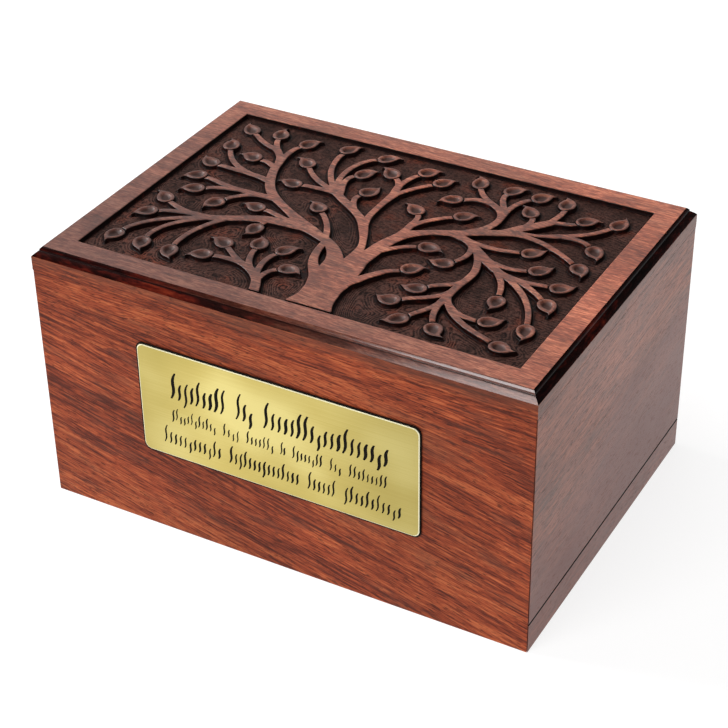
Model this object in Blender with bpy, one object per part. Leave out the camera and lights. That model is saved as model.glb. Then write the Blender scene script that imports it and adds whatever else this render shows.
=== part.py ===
"""Keepsake urn box in solid rosewood: four mitred walls round an empty
chamber, a moulded top board carved with a tree in relief, a bottom panel that
slides out to the right with its end strip, and a brass plate on the front.

Metres, +Z up. The box rests on z = 0, its front faces -Y, its length runs
along X, and the origin is the middle of its footprint.
"""
import math

import bmesh
import bpy
import numpy as np
from mathutils import Vector
from mathutils.geometry import delaunay_2d_cdt

MM = 0.001

# --------------------------------------------------------------------------
# Named sizes, millimetres
# --------------------------------------------------------------------------
LENGTH = 266.0            # outside, along X
DEPTH = 186.0             # outside, along Y
WALL = 12.0               # thickness of the four walls
GAP = 0.3                 # between pieces that touch
BODY_H = 139.0            # floor to the foot of the moulding
MOULD_H = 4.6             # height of the moulding worked on the top board
MOULD_IN = 4.4            # how far the moulding steps in
TOP_T = 12.0              # thickness of the top board
TOTAL_H = BODY_H + MOULD_H
TOP_Z0 = TOTAL_H - TOP_T  # underside of the top board

# profile of the moulding, from its foot to the flat top: (step in, drop from
# the top) - a long rounded slope, a quirk and a bead
MOULD_PROFILE = (
    (0.00, 4.60), (0.05, 4.48), (0.34, 4.02), (0.82, 3.48), (1.45, 2.95), (2.15, 2.48),
    (3.02, 2.02), (3.12, 1.65), (3.39, 0.92), (3.86, 0.36), (4.40, 0.00),
)

FIELD_L = 233.6           # recessed field of the carving, along X
FIELD_D = 153.6           # along Y
CARVE_DEPTH = 2.2         # the ground lies this far below the flat top
FOOT_LINE = 1.3           # groove between the feet of the trees and the border
STOP_CUT = 0.55           # cut that parts each leaf from its twig

PANEL_T = 6.0             # sliding bottom panel
PANEL_Z0 = 5.0            # its underside
GROOVE_IN = 5.0           # depth of the grooves that it runs in
STRIP_H = 16.2            # end strip on the sliding panel
SEAM = 0.6                # gap above the end strip

PLATE_L = 153.0           # brass plate
PLATE_H = 62.5
PLATE_T = 1.0
PLATE_R = 4.0
PLATE_X = 1.5             # middle of the plate
PLATE_Z = 78.0

# the plate stands proud of the front, so the wood sits half that further back
BODY_Y = (PLATE_T + GAP) / 2.0

# --------------------------------------------------------------------------
# The carved trees. Every limb is a run of nodes: x, y, heading in degrees and
# width, from the middle of the board; 0 degrees points right, 90 to the back.
# --------------------------------------------------------------------------
LIMBS = {
    "trunk": ((10.3, -79, 90, 25), (10.1, -74.5, 90, 21.9), (10, -70, 92, 19.6), (9.6, -65, 94, 18.6), (9, -60, 93, 18.4), (8.4, -46, 90, 19.5), (10.4, -31, 90, 11)),
    "strand": ((4.1, -61.5, 97, 8.4), (1.5, -54, 112, 7.2), (-8.4, -38.5, 112, 4.6), (-11.5, -21, 88, 3.6)),
    "side": ((13.9, -60, 90, 8.8), (15.4, -51.5, 80, 6.6), (19.2, -44.7, 64, 5), (25.8, -34, 54, 3.8)),
    "left": ((5, -50, 112, 14), (-1.0, -31.3, 122, 8), (-13, -20, 157, 5.4), (-24, -15, 157, 7), (-35, -13, 172, 9.5)),
    "left_up": ((-27, -13.5, 150, 7), (-45, -2.6, 147, 4.6), (-58, 6.5, 138, 5.2), (-67.5, 20, 115, 5), (-72.3, 34, 99, 4.4), (-73.8, 47, 91, 3.2)),
    "left_arm": ((-53, 2.5, 165, 4), (-66, 3, 180, 4), (-78, 3.2, 178, 3.2)),
    "left_high": ((-66, 17, 160, 4), (-77, 19.7, 178, 3.6), (-84, 20.3, 178, 3.2)),
    "left_crown": ((-73.5, 38, 105, 4.2), (-82.5, 49.8, 142, 4.2)),
    "left_low": ((-30, -14.5, 185, 7), (-46, -16, 190, 6), (-60, -21.5, 208, 5), (-72, -27.2, 200, 5), (-84, -28, 178, 3.6)),
    "centre": ((8, -34, 96, 8), (5.3, -16, 111, 3.8), (-3, 0, 122, 5), (-14, 11, 145, 4.2), (-25, 18.5, 146, 4.6), (-32, 23.5, 148, 4.6)),
    "centre_up": ((-1.5, -2, 112, 4), (-5.2, 12, 93, 3.6), (-5.2, 25, 89, 3.7), (-4.5, 35, 86, 5)),
    "centre_crown": ((-4.8, 32, 92, 4.4), (-6.5, 43, 94, 4.2)),
    "right": ((11.2, -33, 90, 10), (13.2, -18, 86, 7.8), (16, -5, 70, 6.8), (20, 2.5, 48, 6.4), (28, 8.8, 34, 4.8), (39, 14, 26, 5.6)),
    "right_mid": ((15, -7, 76, 5.5), (17.3, 5, 87, 4.4), (17.3, 13, 90, 4)),
    "right_crown": ((44, 17, 48, 5), (51.2, 26.5, 70, 4.4), (52.8, 35, 93, 3.8), (52, 44, 98, 4.2)),
    "arc": ((52.5, 37, 100, 3.6), (44, 47.7, 155, 3.6), (36, 49, 178, 2.8)),
    "right_up": ((38, 13.5, 26, 5), (48, 19, 33, 5.5), (59, 24.5, 26, 5.4), (68, 27.3, 10, 4.4)),
    "far_up": ((58, 24, 38, 5), (66, 33, 50, 6), (75.5, 44, 54, 5.4)),
    "far_mid": ((64, 28, 12, 4), (74, 30, 12, 2.2), (85, 34.5, 28, 4.2)),
    "right_low": ((37, 13, 5, 5), (47, 11, -20, 4.6), (56, 4.5, -37, 5), (64, -1.8, -33, 5.4), (74, -8.8, -28, 4.4), (85, -11.3, -6, 3.8)),
    "drop": ((55, 5, -45, 4), (61.5, -6, -70, 3.8), (64, -16, -90, 4), (62.7, -29, -97, 3.8), (62.3, -40, -88, 4.4), (62, -46, -92, 4)),
    "sapling": ((-17.8, -78, 108, 5.2), (-22, -68, 118, 4.8), (-29, -60.8, 145, 4.6), (-38, -57, 168, 3.6)),
}

# Every leaf hangs on a twig: the limb, how far along it the twig leaves, the
# twig's heading there and where it meets the leaf, then the leaf's middle
# x, y and heading.
LEAVES = (
    ("left_crown", 0.93, 168, 140, -104.5, 62.5, 128),
    ("left_crown", 0.79, 128, 105, -88, 64, 95),
    ("left_up", 1.00, 91, 68, -70.5, 61.5, 45),
    ("left_high", 0.64, 165, 118, -105, 42, 122),
    ("left_up", 0.76, 140, 172, -87.5, 36.5, 180),
    ("left_high", 1.00, 178, 170, -104, 22, 142),
    ("left_arm", 1.00, 176, 172, -102.5, 7.5, 215),
    ("left_arm", 0.82, 186, 208, -96, -5, 215),
    ("left_arm", 0.36, 190, 235, -79.5, -12, 250),
    ("left", 1.00, 172, 172, -58.5, -7.5, 178),
    ("left_low", 1.00, 175, 150, -104, -20.5, 150),
    ("left_low", 0.96, 190, 205, -104, -35, 228),
    ("left_low", 0.71, 205, 252, -106, -60.5, 268),
    ("left_low", 0.75, 215, 276, -90, -61.5, 298),
    ("left_low", 0.59, 232, 275, -74, -62, 305),
    ("left_low", 0.25, 250, 262, -48.5, -25.5, 258),
    ("left", 0.50, 108, 138, -31, 5.5, 148),
    ("centre", 0.94, 168, 182, -55, 22, 187),
    ("centre", 1.00, 160, 128, -59.5, 43.5, 155),
    ("centre", 0.97, 135, 88, -48.5, 65.5, 48),
    ("centre", 0.94, 128, 42, -26.5, 66.5, 22),
    ("centre", 0.89, 105, 55, -29, 46.5, 40),
    ("centre_crown", 0.93, 115, 143, -15.5, 53, 150),
    ("centre", 0.60, 125, 66, -17.5, 30.5, 70),
    ("centre_crown", 1.00, 88, 64, -1, 62.5, 35),
    ("centre_up", 0.90, 72, 50, 10.8, 56, 42),
    ("arc", 1.00, 180, 200, 24, 44.5, 225),
    ("arc", 0.50, 148, 118, 28.5, 64.5, 120),
    ("right_crown", 0.98, 118, 82, 45.5, 65.5, 30),
    ("right_crown", 0.95, 88, 50, 61, 65, 38),
    ("far_up", 1.00, 80, 102, 76, 64, 115),
    ("far_up", 1.00, 42, 60, 90, 53.5, 25),
    ("far_mid", 1.00, 30, 68, 105.8, 57.5, 85),
    ("far_mid", 1.00, 12, 322, 105, 30, 300),
    ("right_up", 0.86, 8, 328, 105, 12, 300),
    ("right_low", 0.16, -14, 25, 79, 14.5, 43),
    ("right_low", 0.54, -25, 30, 89, 1, 48),
    ("right_low", 1.00, -2, 12, 104, -8.5, 40),
    ("right_low", 0.99, -22, 322, 105, -24, 300),
    ("right_low", 0.74, -45, 282, 83.5, -31, 268),
    ("right_low", 0.84, -28, 287, 105.7, -47.5, 278),
    ("drop", 0.76, -70, 342, 100.5, -65, 0),
    ("drop", 0.79, -62, 15, 87.5, -49.5, 42),
    ("drop", 1.00, -85, 300, 68.5, -65, 325),
    ("drop", 0.90, -95, 235, 51.5, -64.5, 218),
    ("drop", 0.67, -102, 215, 41, -53, 170),
    ("drop", 0.50, -102, 225, 47, -38.3, 180),
    ("side", 1.00, 54, 48, 35.5, -25, 30),
    ("right_low", 0.29, -55, 225, 47.8, -12.3, 180),
    ("right", 0.13, 64, 25, 33.5, -3.5, 355),
    ("right_mid", 0.75, 75, 42, 35, 31, 28),
    ("right_mid", 1.00, 95, 128, 12.5, 26, 155),
    ("far_up", 0.50, 75, 125, 63.5, 49, 140),
    ("sapling", 1.00, 172, 188, -57, -58, 212),
    ("sapling", 0.81, 160, 140, -54, -44.5, 172),
    ("sapling", 0.64, 140, 98, -38.5, -38.5, 115),
    ("sapling", 0.43, 118, 70, -25, -38, 38),
    ("sapling", 0.31, 105, 45, -15.5, -51, 345),
)

LEAF_R = 4.35             # radius of a leaf's round end
LEAF_REACH = 9.4          # from there to its tip
LEAF_HOOK = 46.0          # how far the tip hooks over, degrees
TWIG_ROOT = 3.5           # width of a twig at the limb and at the leaf
TWIG_END = 2.8
GRID = 0.25               # spacing of the grid that the outline is traced on
SMOOTH = 0.10             # the outline is kept within this of the curves

# --------------------------------------------------------------------------
# Helpers
# --------------------------------------------------------------------------


def collection(name):
    col = bpy.data.collections.new(name)
    bpy.context.scene.collection.children.link(col)
    return col


def material(name, colour, roughness, metallic=0.0, coat=0.0):
    mat = bpy.data.materials.new(name)
    mat.use_nodes = True
    bsdf = mat.node_tree.nodes["Principled BSDF"]
    bsdf.inputs["Base Color"].default_value = (*colour, 1.0)
    bsdf.inputs["Roughness"].default_value = roughness
    bsdf.inputs["Metallic"].default_value = metallic
    bsdf.inputs["Coat Weight"].default_value = coat
    mat.diffuse_color = (*colour, 1.0)
    return mat


def add(name, bm, mat, col, at=(0.0, 0.0, 0.0)):
    bmesh.ops.recalc_face_normals(bm, faces=bm.faces)
    mesh = bpy.data.meshes.new(name)
    bm.to_mesh(mesh)
    bm.free()
    if mat is not None:
        mesh.materials.append(mat)
    obj = bpy.data.objects.new(name, mesh)
    obj.location = [v * MM for v in at]
    col.objects.link(obj)
    return obj


def prism(outline, lo, hi, axis="Z"):
    """A prism on a 2-D outline in millimetres, pushed from lo to hi."""
    def place(p, h):
        if axis == "Z":
            v = (p[0], p[1], h)
        elif axis == "X":
            v = (h, p[0], p[1])
        else:
            v = (p[0], h, p[1])
        return Vector(v) * MM

    bm = bmesh.new()
    low = [bm.verts.new(place(p, lo)) for p in outline]
    high = [bm.verts.new(place(p, hi)) for p in outline]
    bm.faces.new(low)
    bm.faces.new(high)
    n = len(outline)
    for i in range(n):
        j = (i + 1) % n
        bm.faces.new((low[i], low[j], high[j], high[i]))
    return bm


def rounded_rect(w, h, r, steps=6):
    pts = []
    for cx, cy, a0 in ((w / 2 - r, h / 2 - r, 0), (-w / 2 + r, h / 2 - r, 90),
                       (-w / 2 + r, -h / 2 + r, 180), (w / 2 - r, -h / 2 + r, 270)):
        for k in range(steps + 1):
            a = math.radians(a0 + 90.0 * k / steps)
            pts.append((cx + r * math.cos(a), cy + r * math.sin(a)))
    return pts


def cut(obj, tool):
    mod = obj.modifiers.new("cut_" + tool.name, "BOOLEAN")
    mod.operation = "DIFFERENCE"
    mod.solver = "EXACT"
    mod.object = tool
    tool.hide_render = True
    tool.display_type = "WIRE"


# --------------------------------------------------------------------------
# The outline of the trees
# --------------------------------------------------------------------------


def unit(angle):
    return np.array([math.cos(math.radians(angle)), math.sin(math.radians(angle))])


def span(p0, a0, p1, a1, steps=14, pull=1.0):
    """A smooth curve between two points that leaves and meets them at the
    given headings."""
    p0, p1 = np.array(p0, float), np.array(p1, float)
    reach = np.linalg.norm(p1 - p0) * pull
    t = np.linspace(0.0, 1.0, steps + 1)[:, None]
    return ((2 * t**3 - 3 * t**2 + 1) * p0 + (t**3 - 2 * t**2 + t) * reach * unit(a0)
            + (-2 * t**3 + 3 * t**2) * p1 + (t**3 - t**2) * reach * unit(a1))


def limb_line(nodes):
    line, radius = [], []
    width = np.array([v[3] / 2.0 for v in nodes])
    run = np.concatenate([[0.0], np.cumsum([math.dist(a[:2], b[:2]) for a, b in zip(nodes[:-1], nodes[1:])])])
    taper = np.gradient(width, run) if len(nodes) > 2 else np.full(2, (width[1] - width[0]) / run[1])
    for k, (a, b) in enumerate(zip(nodes[:-1], nodes[1:])):
        p = span(a[:2], a[2], b[:2], b[2])
        t, far = np.linspace(0.0, 1.0, len(p)), run[k + 1] - run[k]
        r = ((2 * t**3 - 3 * t**2 + 1) * width[k] + (t**3 - 2 * t**2 + t) * far * taper[k]
             + (-2 * t**3 + 3 * t**2) * width[k + 1] + (t**3 - t**2) * far * taper[k + 1])
        keep = 1 if line else 0
        line.extend(p[keep:])
        radius.extend(r[keep:])
    return np.array(line), np.array(radius)


def leaf_line(middle, heading, hook, steps=14):
    line, radius = [np.array(middle, float)], [LEAF_R]
    for k in range(1, steps + 1):
        t = k / steps
        line.append(line[-1] + unit(heading - 0.35 * hook + hook * t**2) * LEAF_REACH / steps)
        radius.append(LEAF_R * (0.5 + 0.5 * math.cos(math.pi * t**0.95)) + 0.14)
    return np.array(line), np.array(radius)


def sweep(field, xs, ys, line, radius, margin=3.0):
    """Lower the distance field to a tapered stroke along a line."""
    for a, b, ra, rb in zip(line[:-1], line[1:], radius[:-1], radius[1:]):
        m = max(ra, rb) + margin
        i0 = max(int((min(a[0], b[0]) - m - xs[0]) / GRID), 0)
        i1 = min(int((max(a[0], b[0]) + m - xs[0]) / GRID) + 2, len(xs))
        j0 = max(int((min(a[1], b[1]) - m - ys[0]) / GRID), 0)
        j1 = min(int((max(a[1], b[1]) + m - ys[0]) / GRID) + 2, len(ys))
        if i0 >= i1 or j0 >= j1:
            continue
        gx, gy = xs[i0:i1][None, :], ys[j0:j1][:, None]
        d = b - a
        t = np.clip(((gx - a[0]) * d[0] + (gy - a[1]) * d[1]) / max(d @ d, 1e-9), 0.0, 1.0)
        q = np.hypot(gx - a[0] - t * d[0], gy - a[1] - t * d[1]) - (ra + t * (rb - ra))
        field[j0:j1, i0:i1] = np.minimum(field[j0:j1, i0:i1], q)


def tree_field():
    """Signed distance to the raised wood of the trees, on a grid."""
    xs = np.arange(-FIELD_L / 2, FIELD_L / 2 + GRID / 2, GRID)
    ys = np.arange(-FIELD_D / 2, FIELD_D / 2 + GRID / 2, GRID)
    wood = np.full((len(ys), len(xs)), 9.0)
    leaf = wood.copy()
    lines = {name: limb_line(nodes) for name, nodes in LIMBS.items()}
    for line, radius in lines.values():
        sweep(wood, xs, ys, line, radius)
    for limb, along, leave, meet, x, y, heading in LEAVES:
        line = lines[limb][0]
        root = line[int(round(along * (len(line) - 1)))]
        end = np.array([x, y]) - unit(meet) * (LEAF_R - 0.3)
        twig = span(root, leave, end, meet, pull=1.1)
        sweep(wood, xs, ys, twig, np.linspace(TWIG_ROOT / 2, TWIG_END / 2, len(twig)))
        turn = (heading - meet + 180.0) % 360.0 - 180.0
        sweep(leaf, xs, ys, *leaf_line((x, y), heading, math.copysign(LEAF_HOOK, turn)))
    field = np.minimum(np.maximum(wood, STOP_CUT - leaf), leaf)
    foot = -FIELD_D / 2 + FOOT_LINE
    return np.maximum(field, (foot - ys)[:, None]), xs, ys


def trace(field, xs, ys):
    """Closed outlines where the field passes through zero."""
    inside = field < 0.0
    code = (inside[:-1, :-1] * 1 + inside[:-1, 1:] * 2 + inside[1:, 1:] * 4 + inside[1:, :-1] * 8)
    # cell edges: 0 bottom, 1 right, 2 top, 3 left; the wood stays on the left
    table = {1: ((0, 3),), 2: ((1, 0),), 3: ((1, 3),), 4: ((2, 1),), 5: ((0, 3), (2, 1)),
             6: ((2, 0),), 7: ((2, 3),), 8: ((3, 2),), 9: ((0, 2),), 10: ((1, 0), (3, 2)),
             11: ((1, 2),), 12: ((3, 1),), 13: ((0, 1),), 14: ((3, 0),)}

    def key(j, i, edge):
        return ((j, i, 0), (j, i + 1, 1), (j + 1, i, 0), (j, i, 1))[edge]

    def point(k):
        j, i, upright = k
        f0 = field[j, i]
        f1 = field[j + 1, i] if upright else field[j, i + 1]
        t = f0 / (f0 - f1)
        return (xs[i], ys[j] + t * GRID) if upright else (xs[i] + t * GRID, ys[j])

    follow = {}
    for j, i in zip(*np.nonzero((code > 0) & (code < 15))):
        for a, b in table[int(code[j, i])]:
            follow[key(j, i, a)] = key(j, i, b)
    loops = []
    while follow:
        start, nxt = follow.popitem()
        loop = [start]
        while nxt != start:
            loop.append(nxt)
            nxt = follow.pop(nxt)
        loops.append(np.array([point(k) for k in loop]))
    return loops


def thin(points, tolerance):
    """Drop the points that lie on the straight between their neighbours."""
    keep = np.zeros(len(points), bool)
    far = int(np.argmax(np.hypot(*(points - points[0]).T)))
    keep[[0, far]] = True
    stack = [(0, far), (far, len(points))]
    while stack:
        a, b = stack.pop()
        if b - a < 2:
            continue
        p, q = points[a], points[b % len(points)]
        d = (q - p) / max(np.linalg.norm(q - p), 1e-9)
        off = np.abs((points[a + 1:b, 0] - p[0]) * d[1] - (points[a + 1:b, 1] - p[1]) * d[0])
        k = int(np.argmax(off))
        if off[k] > tolerance:
            keep[a + 1 + k] = True
            stack += [(a, a + 1 + k), (a + 1 + k, b)]
    return points[keep]


def ground_cutter(col):
    """The wood that is carved away round the trees, as one tool."""
    field, xs, ys = tree_field()
    loops = [thin(loop, SMOOTH) for loop in trace(field, xs, ys)]
    loops = [loop for loop in loops if len(loop) > 3]
    hx, hy = FIELD_L / 2, FIELD_D / 2
    loops.append(np.array([(-hx, -hy), (hx, -hy), (hx, hy), (-hx, hy)]))
    points, edges = [], []
    for loop in loops:
        first, n = len(points), len(loop)
        points += [Vector(p) for p in loop]
        edges += [(first + k, first + (k + 1) % n) for k in range(n)]
    flat, _, triangles, _, _, _ = delaunay_2d_cdt(points, edges, [], 0, 1e-5)
    place = np.array([p[:] for p in flat])

    # a triangle is ground where a line out of its middle crosses the outlines
    # an odd number of times
    middle = place[np.array(triangles)].mean(1)
    crossings = np.zeros(len(middle), int)
    for loop in loops:
        for p, q in zip(loop, np.roll(loop, -1, axis=0)):
            if p[1] != q[1]:
                passes = (p[1] > middle[:, 1]) != (q[1] > middle[:, 1])
                reach = p[0] + (middle[:, 1] - p[1]) / (q[1] - p[1]) * (q[0] - p[0])
                crossings += passes & (middle[:, 0] < reach)
    ground = [t for t, odd in zip(triangles, crossings % 2 == 1) if odd]

    bm = bmesh.new()
    low = [bm.verts.new(Vector((x, y, 0.0)) * MM) for x, y in place]
    high = [bm.verts.new(Vector((x, y, CARVE_DEPTH + 1.2)) * MM) for x, y in place]
    rim = {}
    for t in ground:
        bm.faces.new([low[v] for v in reversed(t)])
        bm.faces.new([high[v] for v in t])
        for u, v in ((t[0], t[1]), (t[1], t[2]), (t[2], t[0])):
            if (v, u) in rim:
                del rim[(v, u)]
            else:
                rim[(u, v)] = True
    for u, v in rim:
        bm.faces.new((low[u], low[v], high[v], high[u]))
    loose = [v for v in bm.verts if not v.link_faces]
    bmesh.ops.delete(bm, geom=loose, context="VERTS")
    return add("ground_tool", bm, None, col, (0.0, BODY_Y, TOTAL_H - CARVE_DEPTH))


# --------------------------------------------------------------------------
# The pieces
# --------------------------------------------------------------------------


def top_board(col, tools, mat):
    rings = [(0.0, -TOP_T)] + [(i, -d) for i, d in MOULD_PROFILE]
    bm = bmesh.new()
    loops = []
    for step, z in rings:
        x, y = LENGTH / 2 - step, DEPTH / 2 - step
        loops.append([bm.verts.new(Vector((sx * x, sy * y, z)) * MM)
                      for sx, sy in ((-1, -1), (1, -1), (1, 1), (-1, 1))])
    bm.faces.new(loops[0])
    bm.faces.new(loops[-1])
    for lower, upper in zip(loops[:-1], loops[1:]):
        for k in range(4):
            j = (k + 1) % 4
            bm.faces.new((lower[k], lower[j], upper[j], upper[k]))
    board = add("carved_top", bm, mat, col, (0.0, BODY_Y, TOTAL_H))
    cut(board, ground_cutter(tools))
    return board


def wall_outline(length, thick):
    """Plan of a wall with mitred ends, its outer face on y = 0."""
    g = GAP / 2 * math.sqrt(2.0)
    return [(-length / 2 + g, 0.0), (length / 2 - g, 0.0),
            (length / 2 - thick - g, thick), (-length / 2 + thick + g, thick)]


def wall(name, length, z0, z1, turn, at, mat, col):
    obj = add(name, prism(wall_outline(length, WALL), z0, z1), mat, col, at)
    obj.rotation_euler = (0.0, 0.0, math.radians(turn))
    return obj


def groove_tool(name, col, length):
    """A long bar that cuts the panel's groove in a wall's inner face."""
    y0, y1 = WALL - GROOVE_IN, WALL + 5.0
    z0, z1 = PANEL_Z0 - GAP, PANEL_Z0 + PANEL_T + GAP
    x = length / 2 + 10.0
    return add(name, prism([(-x, y0), (x, y0), (x, y1), (-x, y1)], z0, z1), None, col)


def main():
    for obj in list(bpy.data.objects):
        bpy.data.objects.remove(obj, do_unlink=True)
    scene = bpy.context.scene
    scene.unit_settings.system = "METRIC"
    parts = collection("urn_box")
    tools = collection("urn_box_tools")

    top_wood = material("rosewood_top", (0.245, 0.098, 0.066), 0.42, coat=0.25)
    front_wood = material("rosewood_front", (0.30, 0.075, 0.036), 0.38, coat=0.3)
    back_wood = material("rosewood_back", (0.29, 0.078, 0.040), 0.40, coat=0.25)
    side_wood = material("rosewood_side", (0.235, 0.098, 0.070), 0.38, coat=0.3)
    left_wood = material("rosewood_left", (0.235, 0.092, 0.062), 0.40, coat=0.25)
    strip_wood = material("rosewood_strip", (0.225, 0.090, 0.064), 0.40, coat=0.3)
    panel_wood = material("rosewood_panel", (0.20, 0.085, 0.055), 0.60)
    brass = material("brushed_brass", (0.80, 0.66, 0.30), 0.30, metallic=1.0)

    top_board(parts, tools, top_wood)

    hx, hy = LENGTH / 2, DEPTH / 2
    walls_top = TOP_Z0 - GAP
    front = wall("front_board", LENGTH, 0.0, walls_top, 0.0, (0.0, BODY_Y - hy, 0.0), front_wood, parts)
    back = wall("back_board", LENGTH, 0.0, walls_top, 180.0, (0.0, BODY_Y + hy, 0.0), back_wood, parts)
    left = wall("left_board", DEPTH, 0.0, walls_top, 270.0, (-hx, BODY_Y, 0.0), left_wood, parts)
    wall("right_board", DEPTH, STRIP_H + SEAM, walls_top, 90.0, (hx, BODY_Y, 0.0), side_wood, parts)

    # the sliding bottom: the panel carries the strip that closes its end
    slide = bpy.data.objects.new("slide_origin", None)
    slide.location = (hx * MM, BODY_Y * MM, 0.0)
    slide.empty_display_size = 0.02
    parts.objects.link(slide)
    tongue = GROOVE_IN - GAP
    px0, px1 = -hx + WALL - tongue, hx - WALL + tongue
    py = hy - WALL + tongue
    panel = add("bottom_panel", prism([(px0, -py), (px1, -py), (px1, py), (px0, py)],
                                      PANEL_Z0, PANEL_Z0 + PANEL_T), panel_wood, parts, (-hx, 0.0, 0.0))
    panel.parent = slide
    strip = wall("end_strip", DEPTH, 0.0, STRIP_H, 90.0, (0.0, 0.0, 0.0), strip_wood, parts)
    strip.parent = slide

    for obj, length in ((front, LENGTH), (back, LENGTH), (left, DEPTH), (strip, DEPTH)):
        tool = groove_tool(obj.name + "_groove", tools, length)
        tool.parent = obj
        cut(obj, tool)

    # brass plate on the front, its corners rounded
    add("nameplate", prism(rounded_rect(PLATE_L, PLATE_H, PLATE_R), -PLATE_T, 0.0, axis="Y"),
        brass, parts, (PLATE_X, BODY_Y - hy - GAP, PLATE_Z))


main()
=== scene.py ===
"""The looks of a keepsake urn box in rosewood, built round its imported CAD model:
the carved and moulded top board, the mitred walls, the sliding bottom, and the
engraved brass plate, in a plain studio.
"""

import math

import bmesh
import bpy
import numpy as np
from mathutils import Matrix, Vector
from mathutils.geometry import delaunay_2d_cdt


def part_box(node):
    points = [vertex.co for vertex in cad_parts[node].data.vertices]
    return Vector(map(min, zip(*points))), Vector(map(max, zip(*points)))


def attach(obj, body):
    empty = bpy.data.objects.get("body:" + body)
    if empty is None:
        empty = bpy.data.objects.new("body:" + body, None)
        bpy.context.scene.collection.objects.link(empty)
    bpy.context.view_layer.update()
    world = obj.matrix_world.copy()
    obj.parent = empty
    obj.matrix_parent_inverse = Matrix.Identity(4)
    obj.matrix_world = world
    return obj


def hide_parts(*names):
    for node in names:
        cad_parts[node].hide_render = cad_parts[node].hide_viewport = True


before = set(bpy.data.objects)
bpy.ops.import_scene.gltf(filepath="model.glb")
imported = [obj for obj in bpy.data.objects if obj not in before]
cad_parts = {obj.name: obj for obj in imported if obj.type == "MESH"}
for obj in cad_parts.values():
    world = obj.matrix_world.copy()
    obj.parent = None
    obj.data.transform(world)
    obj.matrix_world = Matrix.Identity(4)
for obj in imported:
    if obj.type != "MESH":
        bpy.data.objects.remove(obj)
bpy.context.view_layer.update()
scene = bpy.context.scene
MM = 0.001

# --------------------------------------------------------------------------
# Named sizes, millimetres, as the CAD model has them
# --------------------------------------------------------------------------
LENGTH, DEPTH = 266.0, 186.0
WALL, GAP = 12.0, 0.3
TOTAL_H, TOP_T = 143.6, 12.0
MOULD_H, MOULD_IN = 4.6, 4.4
FIELD_L, FIELD_D = 233.6, 153.6
CARVE_DEPTH = 2.2
FOOT_LINE, STOP_CUT = 1.3, 0.55
PANEL_T, PANEL_Z0, GROOVE_IN = 6.0, 5.0, 5.0
STRIP_H, SEAM = 16.2, 0.6
PLATE_L, PLATE_H, PLATE_T, PLATE_R = 153.0, 62.5, 1.0, 4.0
BODY_Y = (PLATE_T + GAP) / 2.0

LIMBS = {
    "trunk": ((10.3, -79, 90, 25), (10.1, -74.5, 90, 21.9), (10, -70, 92, 19.6), (9.6, -65, 94, 18.6), (9, -60, 93, 18.4), (8.4, -46, 90, 19.5), (10.4, -31, 90, 11)),
    "strand": ((4.1, -61.5, 97, 8.4), (1.5, -54, 112, 7.2), (-8.4, -38.5, 112, 4.6), (-11.5, -21, 88, 3.6)),
    "side": ((13.9, -60, 90, 8.8), (15.4, -51.5, 80, 6.6), (19.2, -44.7, 64, 5), (25.8, -34, 54, 3.8)),
    "left": ((5, -50, 112, 14), (-1.0, -31.3, 122, 8), (-13, -20, 157, 5.4), (-24, -15, 157, 7), (-35, -13, 172, 9.5)),
    "left_up": ((-27, -13.5, 150, 7), (-45, -2.6, 147, 4.6), (-58, 6.5, 138, 5.2), (-67.5, 20, 115, 5), (-72.3, 34, 99, 4.4), (-73.8, 47, 91, 3.2)),
    "left_arm": ((-53, 2.5, 165, 4), (-66, 3, 180, 4), (-78, 3.2, 178, 3.2)),
    "left_high": ((-66, 17, 160, 4), (-77, 19.7, 178, 3.6), (-84, 20.3, 178, 3.2)),
    "left_crown": ((-73.5, 38, 105, 4.2), (-82.5, 49.8, 142, 4.2)),
    "left_low": ((-30, -14.5, 185, 7), (-46, -16, 190, 6), (-60, -21.5, 208, 5), (-72, -27.2, 200, 5), (-84, -28, 178, 3.6)),
    "centre": ((8, -34, 96, 8), (5.3, -16, 111, 3.8), (-3, 0, 122, 5), (-14, 11, 145, 4.2), (-25, 18.5, 146, 4.6), (-32, 23.5, 148, 4.6)),
    "centre_up": ((-1.5, -2, 112, 4), (-5.2, 12, 93, 3.6), (-5.2, 25, 89, 3.7), (-4.5, 35, 86, 5)),
    "centre_crown": ((-4.8, 32, 92, 4.4), (-6.5, 43, 94, 4.2)),
    "right": ((11.2, -33, 90, 10), (13.2, -18, 86, 7.8), (16, -5, 70, 6.8), (20, 2.5, 48, 6.4), (28, 8.8, 34, 4.8), (39, 14, 26, 5.6)),
    "right_mid": ((15, -7, 76, 5.5), (17.3, 5, 87, 4.4), (17.3, 13, 90, 4)),
    "right_crown": ((44, 17, 48, 5), (51.2, 26.5, 70, 4.4), (52.8, 35, 93, 3.8), (52, 44, 98, 4.2)),
    "arc": ((52.5, 37, 100, 3.6), (44, 47.7, 155, 3.6), (36, 49, 178, 2.8)),
    "right_up": ((38, 13.5, 26, 5), (48, 19, 33, 5.5), (59, 24.5, 26, 5.4), (68, 27.3, 10, 4.4)),
    "far_up": ((58, 24, 38, 5), (66, 33, 50, 6), (75.5, 44, 54, 5.4)),
    "far_mid": ((64, 28, 12, 4), (74, 30, 12, 2.2), (85, 34.5, 28, 4.2)),
    "right_low": ((37, 13, 5, 5), (47, 11, -20, 4.6), (56, 4.5, -37, 5), (64, -1.8, -33, 5.4), (74, -8.8, -28, 4.4), (85, -11.3, -6, 3.8)),
    "drop": ((55, 5, -45, 4), (61.5, -6, -70, 3.8), (64, -16, -90, 4), (62.7, -29, -97, 3.8), (62.3, -40, -88, 4.4), (62, -46, -92, 4)),
    "sapling": ((-17.8, -78, 108, 5.2), (-22, -68, 118, 4.8), (-29, -60.8, 145, 4.6), (-38, -57, 168, 3.6)),
}

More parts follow.
